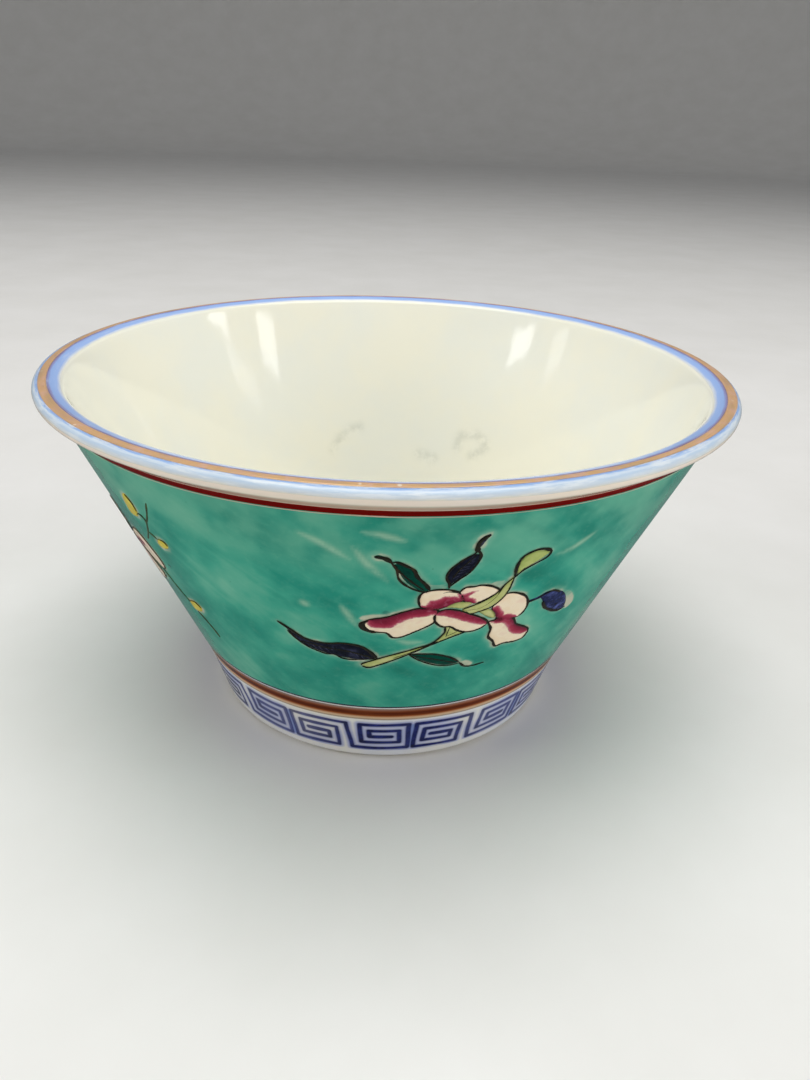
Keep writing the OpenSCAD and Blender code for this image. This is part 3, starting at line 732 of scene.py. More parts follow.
def open_flower(prefix, az0, materials):
    """The large spray: an open flower on a lime stem, with navy and green leaves and a bud."""
    petals, throats = smooth_all(PETALS), smooth_all(THROATS)
    stem_up, stem_down = smooth(STEM_UP), smooth(STEM_DOWN)
    navy, green = smooth_all(NAVY_LEAVES), smooth_all(GREEN_LEAVES)
    over = throats + [stem_up]
    throat = Paint(az0)
    throat.patch(throats, [stem_up], base=GROUND_T, thick=PETAL_T)
    stem = Paint(az0)
    stem.patch([stem_up], base=GROUND_T, thick=PETAL_T + 0.03)
    stem.patch([stem_down], petals + navy + green, base=GROUND_T, thick=PETAL_T)
    bud = Paint(az0)
    bud.patch([smooth(BUD)], base=GROUND_T, thick=PETAL_T + 0.04)
    bud.patch([smooth(BUD_STEM)], [smooth(BUD)], base=GROUND_T, thick=PETAL_T)
    lines = Paint(az0)
    for i, petal in enumerate(PETALS):
        draw(lines, petal, 0.34, LINE_BASE, closed=True, hidden=over if i < 3 else [])
    for points, width in LINES:
        draw(lines, points, width, LINE_BASE + 0.02)
    finish_spray(prefix, materials, lines, (
        (pools(az0, petals, over), "petals", "cream_enamel"),
        (blushes(az0, BLUSH, over, petals), "petal_blush", "magenta_enamel"),
        (throat, "throat", "lime_enamel"),
        (stem, "stem", "lime_enamel"),
        (pools(az0, [smooth(LIME_LEAF)]), "lime_leaf", "lime_enamel"),
        (leaves(az0, navy, NAVY_FEATHERS, -1), "navy_leaves", "navy_enamel"),
        (leaves(az0, green, GREEN_FEATHERS, 1), "green_leaves", "green_enamel"),
        (bud, "bud", "navy_enamel")))


def bud_spray(prefix, az0, materials):
    """The small spray: a pink and cream blossom with yellow buds on thin twigs."""
    petals = smooth_all(BLOSSOM)
    twigs = Paint(az0)
    for twig in TWIGS:
        draw(twigs, twig, 0.5, GROUND_T, hidden=petals, thick=0.1)
    lines = Paint(az0)
    for shape in BLOSSOM:
        draw(lines, shape, 0.2, LINE_BASE, closed=True)
    for shape in YELLOW_BUDS:
        draw(lines, shape[1:4], 0.2, LINE_BASE)
    stamens = 9
    for k in range(stamens):
        a = 2 * math.pi * k / stamens
        tip = np.array([math.cos(a), math.sin(a)])
        draw(lines, [0.5 * tip, 1.2 * tip, (1.9 + 0.4 * math.sin(5 * k)) * tip], 0.2, LINE_BASE + 0.05)
    finish_spray(prefix, materials, lines, (
        (pools(az0, smooth_all(YELLOW_BUDS), thick=PETAL_T + 0.04), "yellow_buds", "yellow_enamel"),
        (pools(az0, petals), "blossom", "cream_enamel"),
        (blushes(az0, MARKS), "blossom_blush", "magenta_enamel"),
        (twigs, "twigs", "twig_enamel")))


# ---------------------------------------------------------------- the key fret
FRET_PAIRS = 10
FRET_Z = 3.0
FRET_ROW = 1.8
FRET_TURN = math.radians(-9)
FRET_PATH = [(-0.35, 4), (0.35, 0), (10.65, 0), (10.65, 4), (2.1, 4), (2.1, 1), (9.05, 1), (9.05, 3),
             (3.7, 3), (3.7, 2), (7.65, 2)]


def fret_values(s, az):
    """For each point on the foot: the distance to the nearest brush line, and how wet the paint lay."""
    pitch = 2 * math.pi / FRET_PAIRS
    turn = az - FRET_TURN + pitch / 2
    pair = np.floor(turn / pitch) % FRET_PAIRS
    mid_r = skin.at(s_foot(FRET_Z + 2 * FRET_ROW))[0]
    x = ((turn % pitch) - pitch / 2) * mid_r
    y = s - s_foot(FRET_Z) - 2 * FRET_ROW
    x = x + 0.10 * np.sin(0.6 * y + 2.7 * pair)
    y = y + 0.10 * np.sin(0.4 * x + 1.9 * pair)
    xy = np.stack([x, y], -1)
    path = np.array([(px, (py - 2) * FRET_ROW) for px, py in FRET_PATH])
    ink = np.full(len(xy), 1e9)
    pool = np.zeros(len(xy))
    for way in (1, -1):
        p = path * way
        ink = np.minimum(ink, distance(xy, p[:-1], p[1:]))
        for k, corner in enumerate(p):
            near = np.exp(-((xy - corner) ** 2).sum(1) / 0.5)
            pool = np.maximum(pool, (0.6 + 0.4 * math.sin(5 * k + way)) * near)
    heart = np.exp(-((np.abs(x) - 5.8) / 2.4) ** 2 - (y / 1.3) ** 2)
    width = 0.41 + 0.14 * heart + 0.04 * np.sin(0.7 * x + 2 * pair)
    gap = np.clip((np.abs(x) - 10.6) / 0.3, 0, 1) * np.clip((2.1 * FRET_ROW - np.abs(y)) / 0.3, 0, 1)
    strength = 0.8 + 0.2 * np.sin(2.4 * pair + 0.8 + 0.15 * x)
    return {"ink": ink - width, "pool": pool, "gap": gap, "strength": strength}


def key_fret(material):
    s0, s1 = s_foot(FRET_Z - 1.1), s_foot(FRET_Z + 4 * FRET_ROW + 1.0)
    top = rows_between(s0, s1, 0.14)
    rise = np.clip(np.minimum(top - s0, s1 - top) / 0.5, 0, 1)
    s = np.concatenate([[s0], top, [s1]])
    lift = np.concatenate([[-2 * SINK], -0.02 + 0.04 * rise, [-2 * SINK]])
    piece = turned_piece("key_fret_painting", skin, s, lift, 1640, values=fret_values)
    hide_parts("key_fret")
    dress(piece, material)


# ---------------------------------------------------------------- the turquoise ground
SPRAYS = {"front": FRONT_AZ, "back": BACK_AZ, "left": LEFT_AZ, "right": RIGHT_AZ}


def ground_values(s, az):
    """Halo: 1 beside the flowers, where the ground was painted round them. Streak: 1 where a brush wiped
    it thin. Brush: coordinates for strokes that climb round the bowl."""
    halo, streak = np.zeros(len(s)), np.zeros(len(s))
    z = FOOT_H + (s - s_foot_top) * math.cos(LEAN)
    for name, az0 in SPRAYS.items():
        open_spray = name in ("front", "back")
        near = np.abs((az - az0 + math.pi) % (2 * math.pi) - math.pi) < math.radians(48)
        xy = to_plane(s[near], az[near], az0)
        shapes = YELLOW_BUDS + BLOSSOM
        if open_spray:
            shapes = PETALS + [STEM_UP, STEM_DOWN, LIME_LEAF, BUD, BUD_STEM] + NAVY_LEAVES + GREEN_LEAVES
        d = np.full(len(xy), 1e9)
        for loop in smooth_all(shapes):
            d = np.minimum(d, np.where(inside(xy, loop), 0, loop_distance(xy, loop)))
        lines = [p for p, _ in LINES] if open_spray else TWIGS
        for line in lines:
            p = smooth(line, 3, False)
            d = np.minimum(d, distance(xy, p[:-1], p[1:]) + 0.6)
        h = np.exp(-(d / 0.95) ** 2)
        if open_spray:
            for loop in smooth_all(BARE):
                bare = np.where(inside(xy, loop), 0, loop_distance(xy, loop))
                h = np.maximum(h, 1.6 * np.exp(-(bare / 0.4) ** 2))
            for line in STREAKS:
                p = even(smooth(line, 6, False), 0.2)
                swell = np.sin(math.pi * (np.arange(len(p)) + 1) / (len(p) + 1)) ** 0.7
                for dot, w in zip(p, swell):
                    gone = np.hypot(*(xy - dot).T) / (0.2 + 0.38 * w)
                    streak[near] = np.maximum(streak[near], (0.35 + 0.65 * w) * np.exp(-gone ** 2))
        halo[near] = np.maximum(halo[near], h)
    turn = az + 0.022 * (z - SPRAY_Z)
    mean_r = 48.0
    brush = np.stack([mean_r * np.sin(turn), mean_r * np.cos(turn), 0.35 * z], -1) * MM
    return {"halo": halo, "streak": streak, "brush": brush}


def turquoise_ground(material):
    s0, s1 = s_wall(low("turquoise_ground")), s_wall(high("red_line") - 0.8)
    inner = rows_between(s0 + 0.15, s1 - 0.1, 0.44)
    s = np.concatenate([[s0, s0], inner, [s1, s1]])
    lift = np.concatenate([[-SINK, 0.3 * GROUND_T], np.full(len(inner), GROUND_T), [0.3 * GROUND_T, -SINK]])
    piece = turned_piece("turquoise_enamel_ground", skin, s, lift, 800, wobble=unsteady(0.05, 4.1),
                         values=ground_values)
    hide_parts("turquoise_ground")
    dress(piece, material)


# ---------------------------------------------------------------- materials
def rgb(r, g, b):
    """A colour given as sRGB bytes, as linear values."""
    return tuple(((c / 255 + 0.055) / 1.055) ** 2.4 if c > 10 else c / 255 / 12.92 for c in (r, g, b))


class Shader:
    """A material built from nodes. Each method returns the socket with its result."""

    def __init__(self, name, roughness=0.12, gloss=0.3):
        self.mat = bpy.data.materials.new(name)
        self.mat.use_nodes = True
        self.tree = self.mat.node_tree
        self.bsdf = self.tree.nodes["Principled BSDF"]
        self.bsdf.inputs["Roughness"].default_value = roughness
        self.bsdf.inputs["Specular IOR Level"].default_value = gloss

    def put(self, value, socket):
        if isinstance(value, bpy.types.NodeSocket):
            self.tree.links.new(value, socket)
        elif hasattr(socket.default_value, "__len__") and len(socket.default_value) == 4:
            socket.default_value = (*value, 1)
        else:
            socket.default_value = value

    def node(self, kind, inputs=(), **settings):
        n = self.tree.nodes.new("ShaderNode" + kind)
        for key, value in settings.items():
            setattr(n, key, value)
        for key, value in dict(inputs).items():
            self.put(value, n.inputs[key])
        return n

    def value(self, name):
        return self.node("Attribute", attribute_name=name).outputs["Fac"]

    def vector(self, name):
        return self.node("Attribute", attribute_name=name).outputs["Vector"]

    def place(self):
        return self.node("TexCoord").outputs["Object"]

    def height(self):
        return self.node("SeparateXYZ", {"Vector": self.place()}).outputs["Z"]

    def noise(self, scale, detail=2.0, rough=0.5, at=None, distortion=0.0):
        """Noise from 0 to 1; scale is in features per millimetre."""
        return self.node("TexNoise", {"Vector": at or self.place(), "Scale": scale / MM, "Detail": detail,
                                      "Roughness": rough, "Distortion": distortion}).outputs["Fac"]

    def specks(self, scale, size):
        """1 inside small scattered dots, 0 elsewhere."""
        cells = self.node("TexVoronoi", {"Vector": self.place(), "Scale": scale / MM})
        return self.span(cells.outputs["Distance"], size, size * 0.4)

    def math(self, op, a, b):
        return self.node("Math", {0: a, 1: b}, operation=op).outputs[0]

    def times(self, a, b):
        return self.math("MULTIPLY", a, b)

    def plus(self, a, b):
        return self.math("ADD", a, b)

    def minus(self, a, b):
        return self.math("SUBTRACT", a, b)

    def span(self, value, lo, hi):
        """0 at lo, 1 at hi, smooth between."""
        if lo > hi:
            return self.minus(1.0, self.span(value, hi, lo))
        return self.node("MapRange", {"Value": value, "From Min": lo, "From Max": hi},
                         interpolation_type="SMOOTHSTEP").outputs["Result"]

    def ramp(self, fac, *stops):
        """A run of colours: each stop is a position and three sRGB bytes."""
        n = self.node("ValToRGB", {"Fac": fac})
        ramp = n.color_ramp
        while len(ramp.elements) < len(stops):
            ramp.elements.new(0.5)
        for element, (at, *colour) in zip(ramp.elements, stops):
            element.position = at
            element.color = (*rgb(*colour), 1)
        return n.outputs["Color"]

    def mix(self, fac, a, b):
        n = self.node("Mix", {0: fac}, data_type="RGBA")
        self.put(a, n.inputs[6])
        self.put(b, n.inputs[7])
        return n.outputs[2]

    def set(self, **sockets):
        for key, value in sockets.items():
            self.put(value, self.bsdf.inputs[key.replace("_", " ")])

    def bump(self, *layers):
        """Raise the surface: each layer is (height, strength, depth in mm)."""
        normal = None
        for height, strength, depth in layers:
            n = self.node("Bump", {"Height": height, "Strength": strength, "Distance": depth * MM})
            if normal is not None:
                self.tree.links.new(normal, n.inputs["Normal"])
            normal = n.outputs["Normal"]
        self.tree.links.new(normal, self.bsdf.inputs["Normal"])


def glaze_colour(sh, tone, warm, cool):
    """White glaze: cloudy between two whites, with a few iron specks."""
    cloud = sh.noise(0.05, 4, 0.6)
    base = sh.mix(sh.span(cloud, 0.3, 0.7), warm, cool)
    speck = sh.times(sh.specks(0.09, 0.014), sh.span(sh.noise(0.045, 1), 0.5, 0.6))
    return sh.mix(sh.times(speck, tone), base, rgb(120, 95, 70))


def glaze_surface(sh, rough=0.07):
    sh.set(Roughness=sh.plus(rough, sh.times(sh.noise(0.25, 3), 0.05)))
    sh.bump((sh.noise(0.09, 2, 0.5), 0.5, 0.10), (sh.noise(0.55, 2, 0.5), 0.25, 0.02))


def inner_glaze_material():
    sh = Shader("porcelain_glaze_inside", gloss=0.5)
    base = glaze_colour(sh, 0.6, rgb(240, 238, 222), rgb(235, 236, 226))
    shadow = sh.times(sh.value("shadow"), sh.span(sh.noise(0.35, 4, 0.65), 0.36, 0.6))
    sh.set(Base_Color=sh.mix(sh.times(shadow, 0.24), base, rgb(150, 156, 140)))
    glaze_surface(sh, 0.04)
    return sh.mat


def outer_glaze_material():
    sh = Shader("porcelain_glaze_outside", gloss=0.4)
    base = glaze_colour(sh, 0.5, rgb(238, 235, 226), rgb(226, 229, 238))
    height = sh.height()
    cream = sh.span(height, 58 * MM, 64 * MM)
    base = sh.mix(sh.times(cream, 0.75), base, rgb(244, 228, 208))
    # Painted shade: a darker tan in the crease under the lip, just above the red line.
    painted_lip_shade = sh.times(sh.span(height, 64 * MM, 62.5 * MM), sh.span(height, 60.8 * MM, 62 * MM))
    sh.set(Base_Color=sh.mix(sh.times(painted_lip_shade, 0.5), base, rgb(200, 178, 138)))
    glaze_surface(sh)
    return sh.mat


def clay_material():
    sh = Shader("bare_clay")
    grain = sh.noise(1.6, 5, 0.7)
    base = sh.ramp(grain, (0.25, 196, 186, 168), (0.55, 222, 214, 198), (0.8, 236, 229, 215))
    stain = sh.times(sh.span(sh.noise(0.12, 4, 0.65), 0.5, 0.7), 0.5)
    grit = sh.specks(0.6, 0.12)
    base = sh.mix(stain, base, rgb(176, 150, 118))
    sh.set(Base_Color=sh.mix(sh.times(grit, 0.5), base, rgb(110, 92, 72)),
           Roughness=sh.plus(0.72, sh.times(grain, 0.2)))
    sh.bump((grain, 0.6, 0.08), (sh.noise(5, 3, 0.6), 0.4, 0.03))
    return sh.mat


def turquoise_material():
    sh = Shader("turquoise_enamel")
    brush = sh.vector("brush")
    wash = sh.noise(0.05, 4, 0.58, brush, 0.5)
    marks = sh.noise(0.16, 4, 0.6, brush, 0.9)
    cloud = sh.noise(0.10, 2.5, 0.5)
    fine = sh.noise(0.9, 3, 0.6)
    body = sh.plus(sh.times(wash, 0.32), sh.times(marks, 0.14))
    body = sh.plus(body, sh.times(cloud, 0.54))
    base = sh.ramp(body, (0.34, 20, 126, 108), (0.44, 36, 148, 128), (0.52, 62, 166, 142),
                   (0.60, 94, 180, 154), (0.70, 130, 198, 170))
    base = sh.mix(sh.times(sh.span(fine, 0.45, 0.8), 0.12), base, rgb(130, 196, 166))
    height = sh.height()
    # Paler in cloudy patches higher up the wall, rising from 46 mm to full at 56 mm.
    paler_up_wall = sh.times(sh.span(height, 46 * MM, 56 * MM), sh.span(cloud, 0.3, 0.54))
    base = sh.mix(sh.times(paler_up_wall, 0.42), base, rgb(120, 182, 154))
    dark = sh.times(sh.specks(0.12, 0.10), sh.span(sh.noise(0.08, 2), 0.50, 0.58))
    base = sh.mix(sh.times(dark, 0.55), base, rgb(0, 84, 80))
    pits = sh.times(sh.specks(0.35, 0.07), sh.span(sh.noise(0.12, 2), 0.52, 0.6))
    base = sh.mix(sh.times(pits, 0.4), base, rgb(20, 92, 82))
    streak = sh.times(sh.value("streak"), sh.span(sh.noise(0.3, 3, 0.6), 0.15, 0.55))
    base = sh.mix(sh.times(streak, 0.6), base, rgb(178, 212, 182))
    drift = sh.noise(0.16, 3, 0.6)
    pale = sh.times(sh.span(sh.value("halo"), 0.02, 0.8), sh.span(drift, 0.3, 0.65))
    base = sh.mix(sh.times(pale, 0.5), base, rgb(136, 196, 168))
    patchy = sh.plus(0.25, sh.times(sh.span(drift, 0.38, 0.60), 0.75))
    torn = sh.times(sh.minus(sh.noise(0.5, 3), 0.5), 1.1)
    halo = sh.times(sh.span(sh.plus(sh.value("halo"), torn), 0.60, 1.15), patchy)
    base = sh.mix(sh.times(halo, 0.8), base, rgb(212, 204, 180))
    sh.set(Base_Color=base, Roughness=sh.plus(0.09, sh.times(marks, 0.08)))
    thick = sh.minus(sh.times(marks, 0.6), sh.times(halo, 0.5))
    sh.bump((thick, 0.4, 0.08), (sh.noise(0.12, 3, 0.5), 0.4, 0.08), (fine, 0.12, 0.012))
    return sh.mat


def cream_of(sh):
    """The cream of the petals, cloudy and a little pinker in places."""
    return sh.ramp(sh.noise(0.35, 4, 0.6), (0.3, 246, 224, 190), (0.52, 250, 234, 206),
                   (0.75, 240, 208, 184))


def enamel_bump(sh):
    sh.bump((sh.noise(0.5, 3, 0.55), 0.4, 0.05), (sh.noise(2.2, 2), 0.2, 0.012))


def cream_material():
    sh = Shader("cream_enamel")
    edge = sh.span(sh.value("edge"), 0.5, 0.1)
    sh.set(Base_Color=sh.mix(sh.times(edge, 0.35), cream_of(sh), rgb(224, 184, 156)),
           Roughness=sh.plus(0.12, sh.times(sh.noise(0.6, 2), 0.08)))
    enamel_bump(sh)
    return sh.mat


def blush_material():
    sh = Shader("magenta_enamel")
    drift = sh.times(sh.minus(sh.noise(1.1, 4, 0.65), 0.5), 0.9)
    worked = sh.plus(sh.value("fade"), drift)
    base = sh.ramp(sh.span(worked, 0.0, 2.6), (0.0, 200, 120, 134), (0.14, 166, 54, 78),
                   (0.42, 146, 32, 62), (0.9, 112, 14, 42))
    thin = sh.times(sh.span(sh.noise(0.7, 4, 0.65), 0.52, 0.7), 0.45)
    base = sh.mix(thin, base, rgb(186, 100, 128))
    rim = sh.times(sh.span(sh.value("edge"), 0.7, 0.05), sh.span(worked, 0.5, 1.2))
    base = sh.mix(sh.times(rim, 0.75), base, rgb(84, 8, 40))
    cover = sh.span(worked, 0.02, 0.40)
    sh.set(Base_Color=sh.mix(cover, cream_of(sh), base),
           Roughness=sh.plus(0.12, sh.times(sh.noise(0.6, 2), 0.08)))
    enamel_bump(sh)
    return sh.mat


def lime_material(name, stops, dark):
    sh = Shader(name)
    base = sh.ramp(sh.noise(0.3, 4, 0.6), *stops)
    edge = sh.span(sh.value("edge"), 0.45, 0.05)
    sh.set(Base_Color=sh.mix(sh.times(edge, 0.4), base, dark))
    enamel_bump(sh)
    return sh.mat


def leaf_material(name, stops, light, dark):
    """A dark leaf that thins at its edge, with feather strokes where tone is 1."""
    sh = Shader(name, gloss=0.1)
    base = sh.ramp(sh.noise(0.55, 4, 0.65), *stops)
    edge = sh.span(sh.value("edge"), 0.6, 0.05)
    base = sh.mix(sh.times(edge, 0.35), base, dark)
    tone = sh.times(sh.value("tone"), sh.span(sh.noise(1.2, 3), 0.3, 0.6))
    sh.set(Base_Color=sh.mix(sh.times(tone, 0.55), base, light))
    enamel_bump(sh)
    return sh.mat


def plain_enamel(name, stops, roughness=0.14):
    sh = Shader(name, roughness)
    sh.set(Base_Color=sh.ramp(sh.noise(0.6, 4, 0.65), *stops))
    enamel_bump(sh)
    return sh.mat


def band_material(name, stops, thin, cover, fine=1.1, drift=0.35, gloss=0.35):
    """A brushed line: its colour runs over stops from one edge to the other, with streaks
    along its length where the enamel lies thin."""
    sh = Shader(name, gloss=gloss)
    brush = sh.vector("brush")
    drag = sh.noise(fine, 4, 0.6, brush)
    sway = sh.times(sh.minus(drag, 0.5), drift)
    base = sh.ramp(sh.plus(sh.value("across"), sway), *stops)
    worn = sh.span(sh.noise(fine * 0.7, 4, 0.65, brush), *cover)
    base = sh.mix(sh.times(worn, 0.8), base, thin)
    sh.set(Base_Color=base, Roughness=sh.plus(0.12, sh.times(drag, 0.1)))
    sh.bump((drag, 0.35, 0.035), (sh.noise(0.12, 2), 0.4, 0.06))
    return sh.mat


def gilt_material():
    sh = Shader("gilt_enamel")
    brush = sh.vector("brush")
    drag = sh.noise(1.0, 4, 0.65, brush)
    mottle = sh.noise(0.35, 5, 0.7)
    base = sh.ramp(drag, (0.3, 164, 116, 64), (0.5, 204, 158, 96), (0.72, 222, 186, 132))
    base = sh.mix(sh.times(sh.span(mottle, 0.46, 0.64), 0.75), base, rgb(204, 160, 146))
    base = sh.mix(0.35, base, rgb(212, 180, 154))
    chips = sh.times(sh.specks(0.5, 0.2), sh.span(sh.noise(0.2, 2), 0.5, 0.58))
    base = sh.mix(sh.times(chips, 0.8), base, rgb(238, 226, 206))
    sh.set(Base_Color=base, Metallic=sh.times(sh.span(drag, 0.4, 0.7), 0.45),
           Roughness=sh.plus(0.24, sh.times(mottle, 0.2)))
    sh.bump((mottle, 0.35, 0.05), (drag, 0.3, 0.03))
    return sh.mat


def brown_material():
    sh = Shader("brown_enamel", gloss=0.08)
    brush = sh.vector("brush")
    drag = sh.noise(0.8, 4, 0.6, brush)
    sway = sh.times(sh.minus(sh.noise(0.09, 3, 0.6, brush), 0.5), 0.22)
    across = sh.plus(sh.value("across"), sway)
    # The grey at the lower edge is painted shade and the tan just above it a painted highlight on the raised
    # band; the browns between are the enamel.
    base = sh.ramp(across, (0.0, 136, 124, 112), (0.09, 184, 164, 140), (0.20, 218, 186, 150),
                   (0.33, 172, 96, 48), (0.44, 98, 38, 0), (0.62, 88, 30, 0),
                   (0.76, 128, 62, 28), (0.88, 150, 104, 84), (1.0, 146, 132, 126))
    base = sh.mix(sh.times(sh.span(drag, 0.5, 0.75), 0.2), base, rgb(172, 88, 40))
    sh.set(Base_Color=base, Roughness=sh.plus(0.12, sh.times(drag, 0.1)))
    sh.bump((drag, 0.35, 0.04), (sh.noise(0.12, 2), 0.4, 0.05))
    return sh.mat


def fret_material():
    sh = Shader("cobalt_under_glaze")
    white = glaze_colour(sh, 0.5, rgb(238, 235, 226), rgb(230, 232, 236))
    bleed = sh.times(sh.minus(sh.noise(0.6, 3, 0.5), 0.5), 0.06)
    d = sh.plus(sh.value("ink"), bleed)
    pool = sh.value("pool")
    tint = sh.times(sh.span(d, 0.95, 0.0), 0.9)
    tint = sh.times(tint, sh.span(sh.noise(0.1, 3), 0.2, 0.55))
    wash = sh.mix(tint, white, rgb(150, 158, 206))
    wash = sh.mix(sh.times(sh.value("gap"), 0.8), wash, rgb(112, 132, 194))
    wet = sh.plus(sh.times(pool, 0.22), sh.times(sh.noise(0.7, 4, 0.7), 0.75))
    wet = sh.plus(wet, sh.times(sh.minus(sh.value("strength"), 0.5), 0.25))
    blue = sh.ramp(wet, (0.2, 62, 76, 150), (0.4, 30, 42, 116), (0.58, 14, 24, 84),
                   (0.9, 5, 7, 34))
    cover = sh.times(sh.span(d, 0.18, -0.14),
                    sh.plus(0.5, sh.times(sh.value("strength"), 0.5)))
    sh.set(Base_Color=sh.mix(cover, wash, blue))
    glaze_surface(sh)
    return sh.mat


def line_material():
    sh = Shader("black_brown_lines", 0.2)
    sh.set(Base_Color=sh.ramp(sh.noise(0.8, 4, 0.65), (0.3, 14, 16, 12), (0.55, 34, 32, 18),
                              (0.8, 62, 48, 26)))
    enamel_bump(sh)
    return sh.mat


def floor_material():
    sh = Shader("pale_floor", 0.55)
    sh.set(Base_Color=sh.ramp(sh.noise(0.02, 4, 0.6), (0.3, 226, 225, 222), (0.7, 232, 231, 229)))
    sh.bump((sh.noise(0.8, 3), 0.1, 0.05))
    return sh.mat


# ---------------------------------------------------------------- the bowl
SHADOW_R = 43.0
# Painted shadows on the inner wall, where the enamel outside shows through the thin porcelain: mm along it
# from the back, towards -X, and height
SHADOWS = [
    [(7, 36.6), (10.5, 35.4), (13.5, 32)],
    [(-7.5, 31), (-11.5, 30.4)],
    [(-17, 33.4), (-17.4, 36.2), (-21.5, 37), (-24, 34.8), (-21, 32.4)],
]


def shadow_values(s, az):
    """Faint grey painted shadows on the wall inside, where the enamel outside shows through the thin
    porcelain.
    """
    shadow = np.zeros(len(s))
    r, z, _, _ = skin.at(s)
    near = (z < 45) & (z > 25) & (r > 25) & (np.cos(az) < 0)
    xy = np.stack([SHADOW_R * (az[near] - math.pi), z[near]], -1)
    for stroke in SHADOWS:
        p = smooth(stroke, 4, False)
        shadow[near] = np.maximum(shadow[near], np.exp(-(distance(xy, p[:-1], p[1:]) / 1.1) ** 2))
    return {"shadow": shadow}


def glazes():
    inside_mat, outside_mat = inner_glaze_material(), outer_glaze_material()
    inner = dish("glaze_inside", skin, s_crown - 0.2, skin.length - 0.5, s_crown + 3, 420, inside_mat,
                 values=shadow_values)
    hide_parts("inner_glaze")
    base = dish("glaze_under_floor", under, under.length, 0.5, under.length - 5, 240, outside_mat)
    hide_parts("base_glaze")
    top = np.concatenate([np.linspace(0, 2, 14)[:-1], rows_between(2, s_wall_top - 2, 0.9)[:-1],
                          rows_between(s_wall_top - 2, s_crown + 0.2, 0.14)])
    roll = 0.06 * np.exp(-((top - 0.7) / 0.5) ** 2) - GLAZE_DEPTH * np.exp(-(top / 0.12) ** 2)
    below = top[::-3]
    s = np.concatenate([top, below])
    lift = np.concatenate([roll, np.full(len(below), -GLAZE_DEPTH)])
    outer = turned_piece("glaze_outside", skin, s, lift, 420)
    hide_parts("outer_glaze")
    dress(outer, outside_mat)


def gilt_inset(az):
    """How far the gilt's outer edge lies inside its usual line: it was laid by hand, narrow at the
    right of the front and wide beyond."""
    turn = (np.degrees(az) + 180) % 360 - 180
    return np.interp(turn, [-180, -60, -15, 15, 42, 66, 90, 135, 180],
                     [0, 0, 0.3, 0.5, 0.45, -0.2, -0.6, -0.3, 0])


def bands():
    blue = band_material("blue_enamel", [(0.0, 132, 120, 150), (0.14, 140, 142, 190), (0.3, 150, 180, 232),
                                         (0.72, 158, 186, 236), (1.0, 232, 232, 226)],
                         rgb(186, 204, 236), (0.52, 0.8))
    # In the pale blue band, the lighter stop at 0.62 is a painted highlight along the lip's rounded nose; the
    # other stops are the enamel's colours.
    pale = band_material("pale_blue_enamel", [(0.0, 232, 228, 214), (0.16, 204, 212, 218),
                                              (0.45, 180, 200, 220), (0.62, 204, 217, 230),
                                              (0.8, 148, 180, 226), (1.0, 142, 164, 210)],
                         rgb(218, 225, 230), (0.48, 0.66), fine=2.2, drift=0.4)
    red = band_material("iron_red_enamel", [(0.0, 122, 14, 6), (0.2, 106, 4, 0), (0.8, 100, 3, 0),
                                            (1.0, 130, 22, 12)], rgb(118, 10, 4), (0.55, 0.8), gloss=0.05)
    dark = band_material("dark_blue_line", [(0.0, 58, 76, 100), (0.35, 24, 40, 62), (0.7, 24, 46, 60),
                                            (1.0, 60, 100, 104)], rgb(90, 110, 130), (0.56, 0.72))
    pink = band_material("pale_edge_enamel", [(0.0, 150, 178, 150), (0.4, 206, 186, 166),
                                              (1.0, 222, 196, 176)], rgb(150, 180, 150), (0.50, 0.66))
    band("blue_line_inside_lip", "rim_blue_inner", blue, s_crown + 0.02, s_edge, 0.05,
         (0.05, 1.7))
    shaky = unsteady(0.05, 2.9)
    band("gilt_line_on_lip", "rim_gilt", gilt_material(), s_gilt, s_crown, 0.07,
         wobble=lambda az, t: shaky(az, t) + (1 - t) * gilt_inset(az))
    uneven = unsteady(0.08, 3.3)
    band("blue_line_outside_lip", "rim_blue_outer", pale, s_nose + 0.05, s_gilt - 0.02, 0.04,
         wobble=lambda az, t: uneven(az, t) + t * gilt_inset(az))
    s_red = s_wall(low("red_line"))
    band("red_line_under_lip", "red_line", red, s_red, s_wall(high("red_line") + 0.15),
         0.09, (0.05, 5.3))
    band("pale_edge_under_red_line", None, pink, s_red - 0.22, s_red + 0.04,
         GROUND_T + 0.01, (0.05, 5.3))
    band("dark_line_above_foot", "dark_line", dark, s_wall(low("dark_line")),
         s_wall(high("dark_line") + 0.2), 0.09, (0.05, 7.7))
    band("brown_line_above_foot", "brown_line", brown_material(),
         s_foot(low("brown_line") - 1.3), s_wall(high("brown_line") + 0.28), 0.09, (0.06, 9.1))


glazes()
bands()
turquoise_ground(turquoise_material())
key_fret(fret_material())

clay = clay_material()
for node in ("clay_bowl", "clay_foot_ring"):
    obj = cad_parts[node]
    obj.data.materials.clear()
    obj.data.materials.append(clay)

